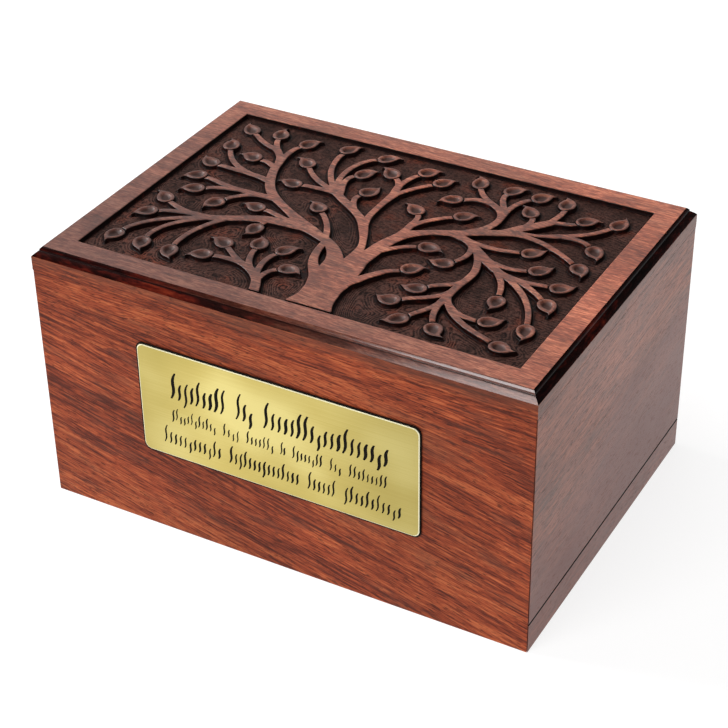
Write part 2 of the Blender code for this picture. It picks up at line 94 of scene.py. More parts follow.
# Every leaf hangs on a twig: the limb, how far along it the twig leaves, the
# twig's heading there and where it meets the leaf, then the leaf's middle
# x, y and heading.
LEAVES = (
    ("left_crown", 0.93, 168, 140, -104.5, 62.5, 128),
    ("left_crown", 0.79, 128, 105, -88, 64, 95),
    ("left_up", 1.00, 91, 68, -70.5, 61.5, 45),
    ("left_high", 0.64, 165, 118, -105, 42, 122),
    ("left_up", 0.76, 140, 172, -87.5, 36.5, 180),
    ("left_high", 1.00, 178, 170, -104, 22, 142),
    ("left_arm", 1.00, 176, 172, -102.5, 7.5, 215),
    ("left_arm", 0.82, 186, 208, -96, -5, 215),
    ("left_arm", 0.36, 190, 235, -79.5, -12, 250),
    ("left", 1.00, 172, 172, -58.5, -7.5, 178),
    ("left_low", 1.00, 175, 150, -104, -20.5, 150),
    ("left_low", 0.96, 190, 205, -104, -35, 228),
    ("left_low", 0.71, 205, 252, -106, -60.5, 268),
    ("left_low", 0.75, 215, 276, -90, -61.5, 298),
    ("left_low", 0.59, 232, 275, -74, -62, 305),
    ("left_low", 0.25, 250, 262, -48.5, -25.5, 258),
    ("left", 0.50, 108, 138, -31, 5.5, 148),
    ("centre", 0.94, 168, 182, -55, 22, 187),
    ("centre", 1.00, 160, 128, -59.5, 43.5, 155),
    ("centre", 0.97, 135, 88, -48.5, 65.5, 48),
    ("centre", 0.94, 128, 42, -26.5, 66.5, 22),
    ("centre", 0.89, 105, 55, -29, 46.5, 40),
    ("centre_crown", 0.93, 115, 143, -15.5, 53, 150),
    ("centre", 0.60, 125, 66, -17.5, 30.5, 70),
    ("centre_crown", 1.00, 88, 64, -1, 62.5, 35),
    ("centre_up", 0.90, 72, 50, 10.8, 56, 42),
    ("arc", 1.00, 180, 200, 24, 44.5, 225),
    ("arc", 0.50, 148, 118, 28.5, 64.5, 120),
    ("right_crown", 0.98, 118, 82, 45.5, 65.5, 30),
    ("right_crown", 0.95, 88, 50, 61, 65, 38),
    ("far_up", 1.00, 80, 102, 76, 64, 115),
    ("far_up", 1.00, 42, 60, 90, 53.5, 25),
    ("far_mid", 1.00, 30, 68, 105.8, 57.5, 85),
    ("far_mid", 1.00, 12, 322, 105, 30, 300),
    ("right_up", 0.86, 8, 328, 105, 12, 300),
    ("right_low", 0.16, -14, 25, 79, 14.5, 43),
    ("right_low", 0.54, -25, 30, 89, 1, 48),
    ("right_low", 1.00, -2, 12, 104, -8.5, 40),
    ("right_low", 0.99, -22, 322, 105, -24, 300),
    ("right_low", 0.74, -45, 282, 83.5, -31, 268),
    ("right_low", 0.84, -28, 287, 105.7, -47.5, 278),
    ("drop", 0.76, -70, 342, 100.5, -65, 0),
    ("drop", 0.79, -62, 15, 87.5, -49.5, 42),
    ("drop", 1.00, -85, 300, 68.5, -65, 325),
    ("drop", 0.90, -95, 235, 51.5, -64.5, 218),
    ("drop", 0.67, -102, 215, 41, -53, 170),
    ("drop", 0.50, -102, 225, 47, -38.3, 180),
    ("side", 1.00, 54, 48, 35.5, -25, 30),
    ("right_low", 0.29, -55, 225, 47.8, -12.3, 180),
    ("right", 0.13, 64, 25, 33.5, -3.5, 355),
    ("right_mid", 0.75, 75, 42, 35, 31, 28),
    ("right_mid", 1.00, 95, 128, 12.5, 26, 155),
    ("far_up", 0.50, 75, 125, 63.5, 49, 140),
    ("sapling", 1.00, 172, 188, -57, -58, 212),
    ("sapling", 0.81, 160, 140, -54, -44.5, 172),
    ("sapling", 0.64, 140, 98, -38.5, -38.5, 115),
    ("sapling", 0.43, 118, 70, -25, -38, 38),
    ("sapling", 0.31, 105, 45, -15.5, -51, 345),
)

LEAF_R, LEAF_REACH, LEAF_HOOK = 4.35, 9.4, 46.0
TWIG_ROOT, TWIG_END = 3.5, 2.8
GRID = 0.25

rng = np.random.default_rng(41)


# --------------------------------------------------------------------------
# The outline of the trees, as distance fields
# --------------------------------------------------------------------------


def unit(angle):
    return np.array([math.cos(math.radians(angle)), math.sin(math.radians(angle))])


def span(p0, a0, p1, a1, steps=14, pull=1.0):
    p0, p1 = np.array(p0, float), np.array(p1, float)
    reach = np.linalg.norm(p1 - p0) * pull
    t = np.linspace(0.0, 1.0, steps + 1)[:, None]
    return ((2 * t**3 - 3 * t**2 + 1) * p0 + (t**3 - 2 * t**2 + t) * reach * unit(a0)
            + (-2 * t**3 + 3 * t**2) * p1 + (t**3 - t**2) * reach * unit(a1))


def limb_line(nodes):
    line, radius = [], []
    width = np.array([v[3] / 2.0 for v in nodes])
    run = np.concatenate([[0.0], np.cumsum([math.dist(a[:2], b[:2]) for a, b in zip(nodes[:-1], nodes[1:])])])
    taper = np.gradient(width, run) if len(nodes) > 2 else np.full(2, (width[1] - width[0]) / run[1])
    for k, (a, b) in enumerate(zip(nodes[:-1], nodes[1:])):
        p = span(a[:2], a[2], b[:2], b[2])
        t, far = np.linspace(0.0, 1.0, len(p)), run[k + 1] - run[k]
        r = ((2 * t**3 - 3 * t**2 + 1) * width[k] + (t**3 - 2 * t**2 + t) * far * taper[k]
             + (-2 * t**3 + 3 * t**2) * width[k + 1] + (t**3 - t**2) * far * taper[k + 1])
        keep = 1 if line else 0
        line.extend(p[keep:])
        radius.extend(r[keep:])
    return np.array(line), np.array(radius)


def leaf_line(middle, heading, hook, steps=14):
    line, radius = [np.array(middle, float)], [LEAF_R]
    for k in range(1, steps + 1):
        t = k / steps
        line.append(line[-1] + unit(heading - 0.35 * hook + hook * t**2) * LEAF_REACH / steps)
        radius.append(LEAF_R * (0.5 + 0.5 * math.cos(math.pi * t**0.95)) + 0.14)
    return np.array(line), np.array(radius)


def sweep(field, xs, ys, line, radius, margin=3.0):
    """Lower the distance field to a tapered stroke along a line."""
    step = xs[1] - xs[0]
    for a, b, ra, rb in zip(line[:-1], line[1:], radius[:-1], radius[1:]):
        m = max(ra, rb) + margin
        i0 = max(int((min(a[0], b[0]) - m - xs[0]) / step), 0)
        i1 = min(int((max(a[0], b[0]) + m - xs[0]) / step) + 2, len(xs))
        j0 = max(int((min(a[1], b[1]) - m - ys[0]) / step), 0)
        j1 = min(int((max(a[1], b[1]) + m - ys[0]) / step) + 2, len(ys))
        if i0 >= i1 or j0 >= j1:
            continue
        gx, gy = xs[i0:i1][None, :], ys[j0:j1][:, None]
        d = b - a
        t = np.clip(((gx - a[0]) * d[0] + (gy - a[1]) * d[1]) / max(d @ d, 1e-9), 0.0, 1.0)
        q = np.hypot(gx - a[0] - t * d[0], gy - a[1] - t * d[1]) - (ra + t * (rb - ra))
        field[j0:j1, i0:i1] = np.minimum(field[j0:j1, i0:i1], q)


def tree_strokes():
    """The strokes of the limbs with their twigs, and those of the leaves."""
    lines = {name: limb_line(nodes) for name, nodes in LIMBS.items()}
    limbs, leaves = list(lines.values()), []
    for limb, along, leave, meet, x, y, heading in LEAVES:
        line = lines[limb][0]
        root = line[int(round(along * (len(line) - 1)))]
        end = np.array([x, y]) - unit(meet) * (LEAF_R - 0.3)
        twig = span(root, leave, end, meet, pull=1.1)
        limbs.append((twig, np.linspace(TWIG_ROOT / 2, TWIG_END / 2, len(twig))))
        turn = (heading - meet + 180.0) % 360.0 - 180.0
        leaves.append(leaf_line((x, y), heading, math.copysign(LEAF_HOOK, turn)))
    return limbs, leaves


def axis_points(half, step):
    n = int(round(2 * half / step))
    return np.linspace(-half, half, n + 1)


def fields(step, margin):
    xs, ys = axis_points(FIELD_L / 2, step), axis_points(FIELD_D / 2, step)
    wood = np.full((len(ys), len(xs)), margin + 6.0)
    leaf = wood.copy()
    limbs, leaves = tree_strokes()
    for line, radius in limbs:
        sweep(wood, xs, ys, line, radius, margin)
    for line, radius in leaves:
        sweep(leaf, xs, ys, line, radius, margin)
    raised = np.minimum(np.maximum(wood, STOP_CUT - leaf), leaf)
    raised = np.maximum(raised, (-FIELD_D / 2 + FOOT_LINE - ys)[:, None])
    return xs, ys, wood, leaf, raised


def read(field, xs, ys, pts):
    """The field's value at points, between the grid's."""
    fx = np.clip((pts[:, 0] - xs[0]) / (xs[1] - xs[0]), 0, len(xs) - 1.001)
    fy = np.clip((pts[:, 1] - ys[0]) / (ys[1] - ys[0]), 0, len(ys) - 1.001)
    i, j = fx.astype(int), fy.astype(int)
    u, v = fx - i, fy - j
    return ((field[j, i] * (1 - u) + field[j, i + 1] * u) * (1 - v)
            + (field[j + 1, i] * (1 - u) + field[j + 1, i + 1] * u) * v)


def blur(field, times):
    for _ in range(times):
        p = np.pad(field, 1, mode="edge")
        field = (p[:-2, 1:-1] + p[2:, 1:-1] + p[1:-1, :-2] + p[1:-1, 2:] + 2 * p[1:-1, 1:-1]) / 6.0
    return field


def waves(pts, size, seed, octaves=2):
    """Smooth noise of about -1 to 1 over the plane, features of that size."""
    made = np.zeros(len(pts))
    r = np.random.default_rng(seed)
    for o in range(octaves):
        k = 2.0 * math.pi / (size / 1.9**o)
        for _ in range(7):
            a = r.uniform(0, 2 * math.pi)
            made += (0.55**o) * np.sin(pts[:, 0] * k * math.cos(a) * r.uniform(0.6, 1.3)
                                       + pts[:, 1] * k * math.sin(a) * r.uniform(0.6, 1.3)
                                       + r.uniform(0, 6.28)) / 3.2
    return made


def trace(field, xs, ys, level):
    """Lines along which the field has that level: (points, closed)."""
    f = field - level
    step = xs[1] - xs[0]
    inside = f < 0.0
    code = (inside[:-1, :-1] * 1 + inside[:-1, 1:] * 2 + inside[1:, 1:] * 4 + inside[1:, :-1] * 8)
    table = {1: ((0, 3),), 2: ((1, 0),), 3: ((1, 3),), 4: ((2, 1),), 5: ((0, 3), (2, 1)),
             6: ((2, 0),), 7: ((2, 3),), 8: ((3, 2),), 9: ((0, 2),), 10: ((1, 0), (3, 2)),
             11: ((1, 2),), 12: ((3, 1),), 13: ((0, 1),), 14: ((3, 0),)}
    w = len(xs) + 1

    def key(j, i, edge):
        if edge == 0:
            return (j * w + i) * 2
        if edge == 1:
            return (j * w + i + 1) * 2 + 1
        if edge == 2:
            return ((j + 1) * w + i) * 2
        return (j * w + i) * 2 + 1

    follow = {}
    for j, i in zip(*(a.tolist() for a in np.nonzero((code > 0) & (code < 15)))):
        for a, b in table[int(code[j, i])]:
            follow[key(j, i, a)] = key(j, i, b)
    ends = set(follow.values())
    starts = sorted(k for k in follow if k not in ends)
    made = []
    while follow:
        start = starts.pop() if starts else min(follow)
        if start not in follow:
            continue
        run, k = [start], follow.pop(start)
        while k != start:
            run.append(k)
            if k not in follow:
                break
            k = follow.pop(k)
        closed = k == start
        run = np.array(run)
        upright, cell = run % 2 == 1, run // 2
        j, i = cell // w, cell % w
        j2, i2 = np.where(upright, j + 1, j), np.where(upright, i, i + 1)
        f0, f1 = f[j, i], f[j2, i2]
        t = f0 / (f0 - f1)
        pts = np.stack([xs[i] + np.where(upright, 0, t) * step, ys[j] + np.where(upright, t, 0) * step], 1)
        made.append((pts, closed))
    return made


def thin(points, tolerance, most, closed=True):
    """Fewer points along a line, with none further apart than that."""
    n = len(points)
    keep = np.zeros(n + 1, bool)
    far = int(np.argmax(np.hypot(*(points - points[0]).T))) if closed else n - 1
    keep[[0, far]] = True
    stack = [(0, far), (far, n)] if closed else [(0, far)]
    ring = np.vstack([points, points[:1]])
    while stack:
        a, b = stack.pop()
        if b - a < 2:
            continue
        p, q = ring[a], ring[b]
        chord = np.linalg.norm(q - p)
        d = (q - p) / max(chord, 1e-9)
        off = np.abs((ring[a + 1:b, 0] - p[0]) * d[1] - (ring[a + 1:b, 1] - p[1]) * d[0])
        k = int(np.argmax(off))
        if off[k] > tolerance:
            k += a + 1
        elif chord > most:
            k = (a + b) // 2
        else:
            continue
        keep[k] = True
        stack += [(a, k), (k, b)]
    return points[keep[:n]]


# --------------------------------------------------------------------------
# Mesh helpers
# --------------------------------------------------------------------------


def new_object(name, verts, faces, materials, slots=None, smooth=True):
    """An object from points in millimetres."""
    mesh = bpy.data.meshes.new(name)
    mesh.from_pydata(np.asarray(verts, float) * MM, [], faces)
    for m in materials:
        mesh.materials.append(m)
    if slots is not None:
        mesh.polygons.foreach_set("material_index", np.asarray(slots, np.int32))
    mesh.polygons.foreach_set("use_smooth", np.full(len(mesh.polygons), smooth))
    mesh.update()
    obj = bpy.data.objects.new(name, mesh)
    scene.collection.objects.link(obj)
    return obj


def attribute(obj, name, values):
    layer = obj.data.attributes.new(name, "FLOAT", "POINT")
    layer.data.foreach_set("value", np.asarray(values, np.float32))


def weighted_normals(obj, sharp_degrees=None):
    if sharp_degrees is not None:
        obj.data.set_sharp_from_angle(angle=math.radians(sharp_degrees))
    mod = obj.modifiers.new("normals", "WEIGHTED_NORMAL")
    mod.mode = "FACE_AREA"
    mod.keep_sharp = True


def triangulate(pts, edges):
    """Delaunay triangles over points, with the edges kept. New points appear
    where edges cross; the list says which old point each one is, or -1."""
    verts, _, faces, origin, _, _ = delaunay_2d_cdt([Vector(p) for p in pts], edges, [], 0, 1e-5)
    place = np.array([v[:] for v in verts])
    old = np.array([o[0] if o else -1 for o in origin])
    return place, np.array(faces), old


# --------------------------------------------------------------------------
# The carved top board
# --------------------------------------------------------------------------

# distance from the edge of the raised wood, and the drop below the flat top
SECTION_S = np.array([-0.50, -0.22, -0.06, 0.05, 0.30, 0.45, 0.80])
SECTION_Z = np.array([0.00, -0.04, -0.15, -0.42, -1.88, -2.08, -2.20])
LEVELS = (-0.50, -0.10, 0.04, 0.30, 0.80)
GOUGE = 1.45              # pitch of the gouge marks in the ground
RIM = 0.95                # width of a leaf's raised rim

# profile of the moulding from the flat top outwards: (step in, drop)
MOULD_PROFILE = (
    (4.40, 0.00), (4.30, 0.03), (4.18, 0.10), (4.04, 0.20), (3.88, 0.33), (3.70, 0.49),
    (3.52, 0.67), (3.35, 0.86), (3.20, 1.05), (3.08, 1.24), (3.00, 1.44), (2.97, 1.62),
    (2.99, 1.76), (3.05, 1.86), (3.05, 1.94), (2.96, 1.99), (2.80, 2.06), (2.50, 2.29),
    (2.18, 2.54), (1.86, 2.80), (1.55, 3.06), (1.25, 3.32), (0.96, 3.58), (0.69, 3.83),
    (0.44, 4.07), (0.22, 4.29), (0.07, 4.46), (0.00, 4.60), (0.00, 7.00),
    (0.00, 9.50), (0.00, 11.90), (0.03, 11.97), (0.12, 12.00),
)


def carved_top():
    xs, ys, wood, leaf, raised = fields(GRID, 3.0)
    hx, hy = FIELD_L / 2, FIELD_D / 2
    edge = np.minimum(np.minimum(xs + hx, hx - xs)[None, :], np.minimum(ys + hy, hy - ys)[:, None])
    shape = np.minimum(raised, edge)

    # the far distance, for gouge marks that follow the trees and the edges
    cx, cy, _, _, far = fields(0.5, 16.0)
    cedge = np.minimum(np.minimum(cx + hx, hx - cx)[None, :], np.minimum(cy + hy, hy - cy)[:, None])
    far = blur(np.minimum(np.minimum(far, cedge * 1.5 + 2.0), 20.0), 26)
    gx, gy = np.meshgrid(cx, cy)
    flat = np.stack([gx.ravel(), gy.ravel()], 1)
    phase = far + (waves(flat, 46.0, 5) * 0.8 + flat @ unit(65) * 0.16).reshape(far.shape)
    phase = phase / GOUGE

    points, known, edges = [], [], []
    count = 0

    def put(line, s, closed=True, join=True):
        nonlocal count
        n = len(line)
        points.append(line)
        known.append(np.broadcast_to(np.asarray(s, float), n))
        if join:
            first = np.arange(count, count + n - (0 if closed else 1))
            second = np.roll(np.arange(count, count + n), -1)[: len(first)]
            edges.extend(zip(first.tolist(), second.tolist()))
        count += n

    for level in LEVELS:
        for line, closed in trace(raised, xs, ys, level):
            if len(line) < 8:
                continue
            line = thin(line, 0.018, 1.5, closed)
            put(line, np.minimum(level, read(edge, xs, ys, line)), closed)
    # the field's own wall, a straight run along each side
    for level in LEVELS:
        x, y = hx - level, hy - level
        nx, ny = int(2 * x / 1.4), int(2 * y / 1.4)
        ring = np.concatenate([
            np.stack([np.linspace(-x, x, nx, endpoint=False), np.full(nx, -y)], 1),
            np.stack([np.full(ny, x), np.linspace(-y, y, ny, endpoint=False)], 1),
            np.stack([np.linspace(x, -x, nx, endpoint=False), np.full(nx, y)], 1),
            np.stack([np.full(ny, -x), np.linspace(y, -y, ny, endpoint=False)], 1)])
        put(ring, np.minimum(level, read(raised, xs, ys, ring)) if level > 0 else level)
    # leaf hollows
    for level in (-RIM, -RIM - 0.40, -RIM - 0.95, -RIM - 1.65, -RIM - 2.40):
        for line, closed in trace(leaf, xs, ys, level):
            if len(line) > 5:
                put(thin(line, 0.03, 0.9, closed), np.nan, closed)
    # the bottoms of narrow cuts, where two walls meet
    slope = np.hypot(*np.gradient(shape, xs[1] - xs[0]))
    j, i = np.nonzero((shape > 0.12) & (shape < 0.8) & (slope < 0.55))
    narrow = np.stack([xs[i], ys[j]], 1)
    narrow = narrow[(i + j) % 2 == 0]
    put(narrow, np.nan, join=False)
    # gouge marks: a line of points along each crest and each furrow
    for k in range(int(np.floor(phase.min() * 2)), int(np.ceil(phase.max() * 2)) + 1):
        for line, closed in trace(phase, cx, cy, k / 2.0):
            if len(line) < 6:
                continue
            line = thin(line, 0.05, 1.7, closed)
            clear = read(shape, xs, ys, line) > 1.12
            clear &= (np.abs(line[:, 0]) < hx - 1.1) & (np.abs(line[:, 1]) < hy - 1.1)
            n = len(line)
            index = np.full(n, -1)
            index[clear] = count + np.arange(clear.sum())
            nxt = np.roll(index, -1)
            pair = (index >= 0) & (nxt >= 0)
            if not closed:
                pair[-1] = False
            edges.extend(zip(index[pair].tolist(), nxt[pair].tolist()))
            put(line[clear], np.nan, join=False)
    # raised wood: a loose net of points, for the hand-worked unevenness
    net = np.stack(np.meshgrid(np.arange(-hx + 1, hx, 1.7), np.arange(-hy + 1, hy, 1.7)), -1).reshape(-1, 2)
    net = net + rng.uniform(-0.35, 0.35, net.shape)
    inside = (read(raised, xs, ys, net) < -0.75) & (read(leaf, xs, ys, net) > 0.6)
    put(net[inside], np.nan, join=False)
    # the flat border and the rectangle where the moulding begins
    ox, oy = LENGTH / 2 - MOULD_IN, DEPTH / 2 - MOULD_IN
    nx, ny = 66, 46
    rim = np.concatenate([
        np.stack([np.linspace(-ox, ox, nx, endpoint=False), np.full(nx, -oy)], 1),
        np.stack([np.full(ny, ox), np.linspace(-oy, oy, ny, endpoint=False)], 1),
        np.stack([np.linspace(ox, -ox, nx, endpoint=False), np.full(nx, oy)], 1),
        np.stack([np.full(ny, -ox), np.linspace(oy, -oy, ny, endpoint=False)], 1)])
    rim_start = count
    put(rim, -12.0)
    for inset in (3.0, 6.5):
        k = (np.array([ox, oy]) - inset) / np.array([ox, oy])
        put(rim * k, -9.0, join=False)

    pts, s = np.concatenate(points), np.concatenate(known)
    place, faces, old = triangulate(pts, edges)
    value = np.where(old >= 0, s[np.maximum(old, 0)], np.nan)
    unknown = np.isnan(value)
    outside = (np.abs(place[:, 0]) > hx) | (np.abs(place[:, 1]) > hy)
    value[unknown] = np.where(outside, -9.0, read(shape, xs, ys, place))[unknown]

    # heights
    z = np.interp(value, SECTION_S, SECTION_Z)
    leaf_at = np.where(outside, 9.0, read(leaf, xs, ys, place))
    up = (value < 0.0) & ~outside
    top = np.where(outside, 0.0, np.clip((0.35 - value) / 0.31, 0.0, 1.0))
    in_leaf = (top > 0.0) & (leaf_at < STOP_CUT / 2)
    bowl = np.clip((-leaf_at - RIM) / 2.3, 0.0, 1.0)
    bowl = np.where(in_leaf & up, bowl * bowl * (3.0 - 2.0 * bowl), 0.0)
    tilt = np.zeros(len(place))
    tint = np.zeros(len(place))
    for _, _, _, _, x, y, heading in LEAVES:
        at = np.array([x, y]) + unit(heading) * 2.2
        near = in_leaf & (np.hypot(place[:, 0] - at[0], place[:, 1] - at[1]) < 10.0)
        lean = unit(rng.uniform(0, 360)) * rng.uniform(0.015, 0.055)
        tilt[near] = -rng.uniform(0.15, 0.5) + (place[near] - at) @ lean
        # each hollow runs deepest a little off the middle
        side = unit(heading + rng.uniform(100, 260)) * 0.10
        bowl[near] *= np.clip(1.0 + (place[near] - np.array([x, y])) @ side, 0.5, 1.2)
        tint[near] = rng.uniform(0.25, 1.0)
    tilt = np.clip(tilt, -0.9, 0.0)
    twig = np.where((top > 0.0) & ~in_leaf, np.clip(1.0 - (leaf_at - 0.3) / 3.6, 0.0, 1.0), 0.0)
    z = z + top * np.where(in_leaf, tilt, -0.4 * twig**1.5) - 1.40 * bowl
    rough_top = waves(place, 15.0, 11) * 0.05 + waves(place, 6.0, 12) * 0.025
    z = z + np.where(up & (value < -0.3), np.minimum(rough_top, 0.0), 0.0)
    ground = ~outside & (value > 0.7)
    ph = np.where(outside, 0.0, read(phase, cx, cy, place))
    fade = np.clip((value - 0.85) / 0.6, 0.0, 1.0)
    deep = 0.5 + 0.5 * np.clip(waves(place, 26.0, 23) + 0.4, 0.0, 1.0)
    z = z + np.where(ground, fade * (0.11 * waves(place, 11.0, 21) + 0.030 * deep * np.cos(2 * math.pi * ph)), 0.0)

    # the moulding and the board below it
    verts = [np.column_stack([place[:, 0], place[:, 1], z])]
    where = {int(o): k for k, o in enumerate(old) if o >= 0}
    ring = [where[rim_start + k] for k in range(len(rim))]
    slots = np.where(value[faces].mean(1) > 0.02, 7, 0).tolist()
    all_faces = faces.tolist()
    total = len(place)
    rings = [ring]
    corners = [0, nx, nx + ny, 2 * nx + ny]
    for step, drop in MOULD_PROFILE[1:]:
        k = (np.array([LENGTH / 2 - step, DEPTH / 2 - step])) / np.array([ox, oy])
        loop = rim * k
        # the moulding was run by hand: its line wanders by a few hundredths
        wander = 0.035 * waves(rim, 40.0, 31) + 0.02 * waves(rim, 13.0, 32)
        amount = math.sin(math.pi * min(drop / MOULD_H, 1.0))
        verts.append(np.column_stack([loop, -drop + wander * amount]))
        rings.append(list(range(total, total + len(loop))))
        total += len(loop)
    drops = [d for _, d in MOULD_PROFILE]
    n = len(rim)
    for r in range(len(rings) - 1):
        for k in range(n):
            m = (k + 1) % n
            slot = (8 if k < nx else 1) if drops[r] < 4.4 else 2 + sum(k >= c for c in corners[1:])
            all_faces.append((rings[r][k], rings[r + 1][k], rings[r + 1][m], rings[r][m]))
            slots.append(slot)
    # underside
    last = rings[-1]
    verts.append(np.array([[0.0, 0.0, -TOP_T]]))
    for k in range(n):
        all_faces.append((last[(k + 1) % n], last[k], total))
        slots.append(6)
    total += 1

    verts = np.concatenate(verts)
    verts[:, 1] += BODY_Y
    verts[:, 2] += TOTAL_H
    finishes = [MAT[m] for m in ("top", "mould", "front", "right", "back", "left", "panel", "ground", "lip")]
    obj = new_object("carved_board", verts, all_faces, finishes, slots)
    extra = total - len(place)
    attribute(obj, "edge", np.concatenate([value, np.full(extra, -9.0)]))
    attribute(obj, "hollow", np.concatenate([bowl, np.zeros(extra)]))
    attribute(obj, "leafy", np.concatenate([tint, np.zeros(extra)]))
    attribute(obj, "furrow", np.concatenate([ph, np.zeros(extra)]))
    # the four mitres of the moulding stay crisp
    me = obj.data
    pairs = np.empty(len(me.edges) * 2, np.int32)
    me.edges.foreach_get("vertices", pairs)
    pairs = pairs.reshape(-1, 2)
    at_corner = np.zeros(total, bool)
    for loop in rings:
        at_corner[[loop[c] for c in corners]] = True
    low = np.zeros(total, bool)
    low[last] = True
    sharp = at_corner[pairs].all(1) | low[pairs].all(1)
    layer = me.attributes.new("sharp_edge", "BOOLEAN", "EDGE")
    layer.data.foreach_set("value", sharp)
    weighted_normals(obj)
    return obj


# --------------------------------------------------------------------------
# The boards of the box
# --------------------------------------------------------------------------


def board(name, length, z0, z1, groove, turn, at, materials, sharp, arris=0.4):
    """A wall with mitred ends, its outer face on y = 0 before it is turned.
    The arrises of its outer face are eased, all but those at the sharp heights,
    which, where there is a second material, take it as painted seam shade."""
    g = GAP / 2 * math.sqrt(2.0)
    outline = [(0.0, z0), (WALL, z0)]
    if groove:
        outline += [(WALL, PANEL_Z0 - GAP), (WALL - GROOVE_IN, PANEL_Z0 - GAP),
                    (WALL - GROOVE_IN, PANEL_Z0 + PANEL_T + GAP), (WALL, PANEL_Z0 + PANEL_T + GAP)]
    outline += [(WALL, z1), (0.0, z1)]
    bm = bmesh.new()
    ends = []
    for side in (-1, 1):
        ends.append([bm.verts.new((side * (length / 2 - g - y), y, z)) for y, z in outline])
    n = len(outline)
    for k in range(n):
        m = (k + 1) % n
        bm.faces.new((ends[0][k], ends[1][k], ends[1][m], ends[0][m]))
    bm.faces.new(ends[0])
    bm.faces.new(list(reversed(ends[1])))
    bmesh.ops.recalc_face_normals(bm, faces=bm.faces)
    outer = [e for e in bm.edges if all(v.co.y < 1e-6 for v in e.verts)
             and not any(all(abs(v.co.z - level) < 1e-6 for v in e.verts) for level in sharp)]
    bmesh.ops.bevel(bm, geom=outer, offset=arris, segments=3, profile=0.6, affect="EDGES")
    bm.normal_update()
    # painted shade: the faces at the sharp heights get the near-black seam material
    for f in bm.faces:
        if len(materials) > 1 and abs(f.normal.z) > 0.9 and any(
                abs(f.calc_center_median().z - level) < 1e-4 for level in sharp):
            f.material_index = 1
    # a chamfer along the low sharp arrises, also painted seam shade, widens the dark line
    if len(materials) > 1:
        at_seam = [e for e in bm.edges if all(v.co.y < 1e-6 for v in e.verts)
                   and any(all(abs(v.co.z - level) < 1e-6 for v in e.verts) for level in sharp)
                   and e.verts[0].co.z < TOTAL_H / 2]
        bmesh.ops.bevel(bm, geom=at_seam, offset=0.36, segments=1, profile=0.5, affect="EDGES", material=1)
    for v in bm.verts:
        v.co *= MM
    mesh = bpy.data.meshes.new(name)
    bm.to_mesh(mesh)
    bm.free()
    for m in materials:
        mesh.materials.append(m)
    mesh.transform(Matrix.Translation(Vector(at) * MM) @ Matrix.Rotation(math.radians(turn), 4, "Z"))
    mesh.polygons.foreach_set("use_smooth", np.full(len(mesh.polygons), True))
    obj = bpy.data.objects.new(name, mesh)
    scene.collection.objects.link(obj)
    weighted_normals(obj, 50.0)
    return obj


def sliding_panel():
    tongue = GROOVE_IN - GAP
    hx, hy = LENGTH / 2 - WALL + tongue, DEPTH / 2 - WALL + tongue
    bm = bmesh.new()
    low = [bm.verts.new((sx * hx, sy * hy, PANEL_Z0)) for sx, sy in ((-1, -1), (1, -1), (1, 1), (-1, 1))]
    high = [bm.verts.new((sx * hx, sy * hy, PANEL_Z0 + PANEL_T)) for sx, sy in ((-1, -1), (1, -1), (1, 1), (-1, 1))]
    bm.faces.new(list(reversed(low)))
    bm.faces.new(high)
    for k in range(4):
        m = (k + 1) % 4
        bm.faces.new((low[k], low[m], high[m], high[k]))
    bmesh.ops.bevel(bm, geom=list(bm.edges), offset=0.5, segments=3, profile=0.6, affect="EDGES")
    for v in bm.verts:
        v.co = (v.co + Vector((0.0, BODY_Y, 0.0))) * MM
    mesh = bpy.data.meshes.new("sliding_panel")
    bm.to_mesh(mesh)
    bm.free()
    mesh.materials.append(MAT["panel"])
    mesh.polygons.foreach_set("use_smooth", np.full(len(mesh.polygons), True))
    obj = bpy.data.objects.new("sliding_panel", mesh)
    scene.collection.objects.link(obj)
    weighted_normals(obj, 50.0)
    return obj


# --------------------------------------------------------------------------
# The brass plate
# --------------------------------------------------------------------------


def rounded(w, h, r, steps=9):
    pts = []
    for cx, cy, a0 in ((w / 2 - r, h / 2 - r, 0), (-w / 2 + r, h / 2 - r, 90),
                       (-w / 2 + r, -h / 2 + r, 180), (w / 2 - r, -h / 2 + r, 270)):
        for k in range(steps + 1):
            a = math.radians(a0 + 90.0 * k / steps)
            pts.append((cx + r * math.cos(a), cy + r * math.sin(a)))
    return np.array(pts)


def engraver_strokes():
    """Three rows of plain slanted strokes, in groups, as closed outlines."""
    r = np.random.default_rng(7)
    made = []
    # left end, right end, foot and height of each row, stroke pitch, width, groups
    rows = ((-58.0, 60.5, 4.2, 15.2, 3.6, 1.75, (0.29, 0.09, 0.62)),
            (-58.5, 59.5, -8.0, 7.4, 2.2, 0.95, (0.26, 0.10, 0.16, 0.03, 0.17, 0.07, 0.21)),
            (-64.0, 67.0, -23.0, 10.4, 2.7, 1.25, (0.28, 0.33, 0.13, 0.26)))
    for x0, x1, foot, height, pitch, width, shares in rows:
        gap = pitch * 1.5
        usable = (x1 - x0) - gap * (len(shares) - 1)
        total = sum(shares)
        x = x0
        for share in shares:
            length = usable * share / total
            n = max(2, int(round(length / pitch)))
            for k in range(n):
                tall = height * (1.0 if k == 0 else r.choice([0.62, 0.66, 0.62, 0.95]))
                base = foot + (0.0 if r.uniform() < 0.85 else -0.22 * height)
                cx = x + (k + 0.5) * length / n
                lean = 0.20
                wide = width * r.uniform(0.8, 1.15)
                left, right = [], []
                steps = 7
                for s in range(steps + 1):
                    t = s / steps
                    half = wide / 2 * (0.28 + 0.72 * math.sin(math.pi * (0.12 + 0.76 * t)))
                    bend = 0.05 * tall * math.sin(2 * math.pi * t)
                    px = cx + lean * (t - 0.5) * tall + bend
                    pz = base + t * tall
                    left.append((px - half, pz))
                    right.append((px + half, pz))
                made.append(np.array(right + left[::-1]))
            x += length + gap
    return made


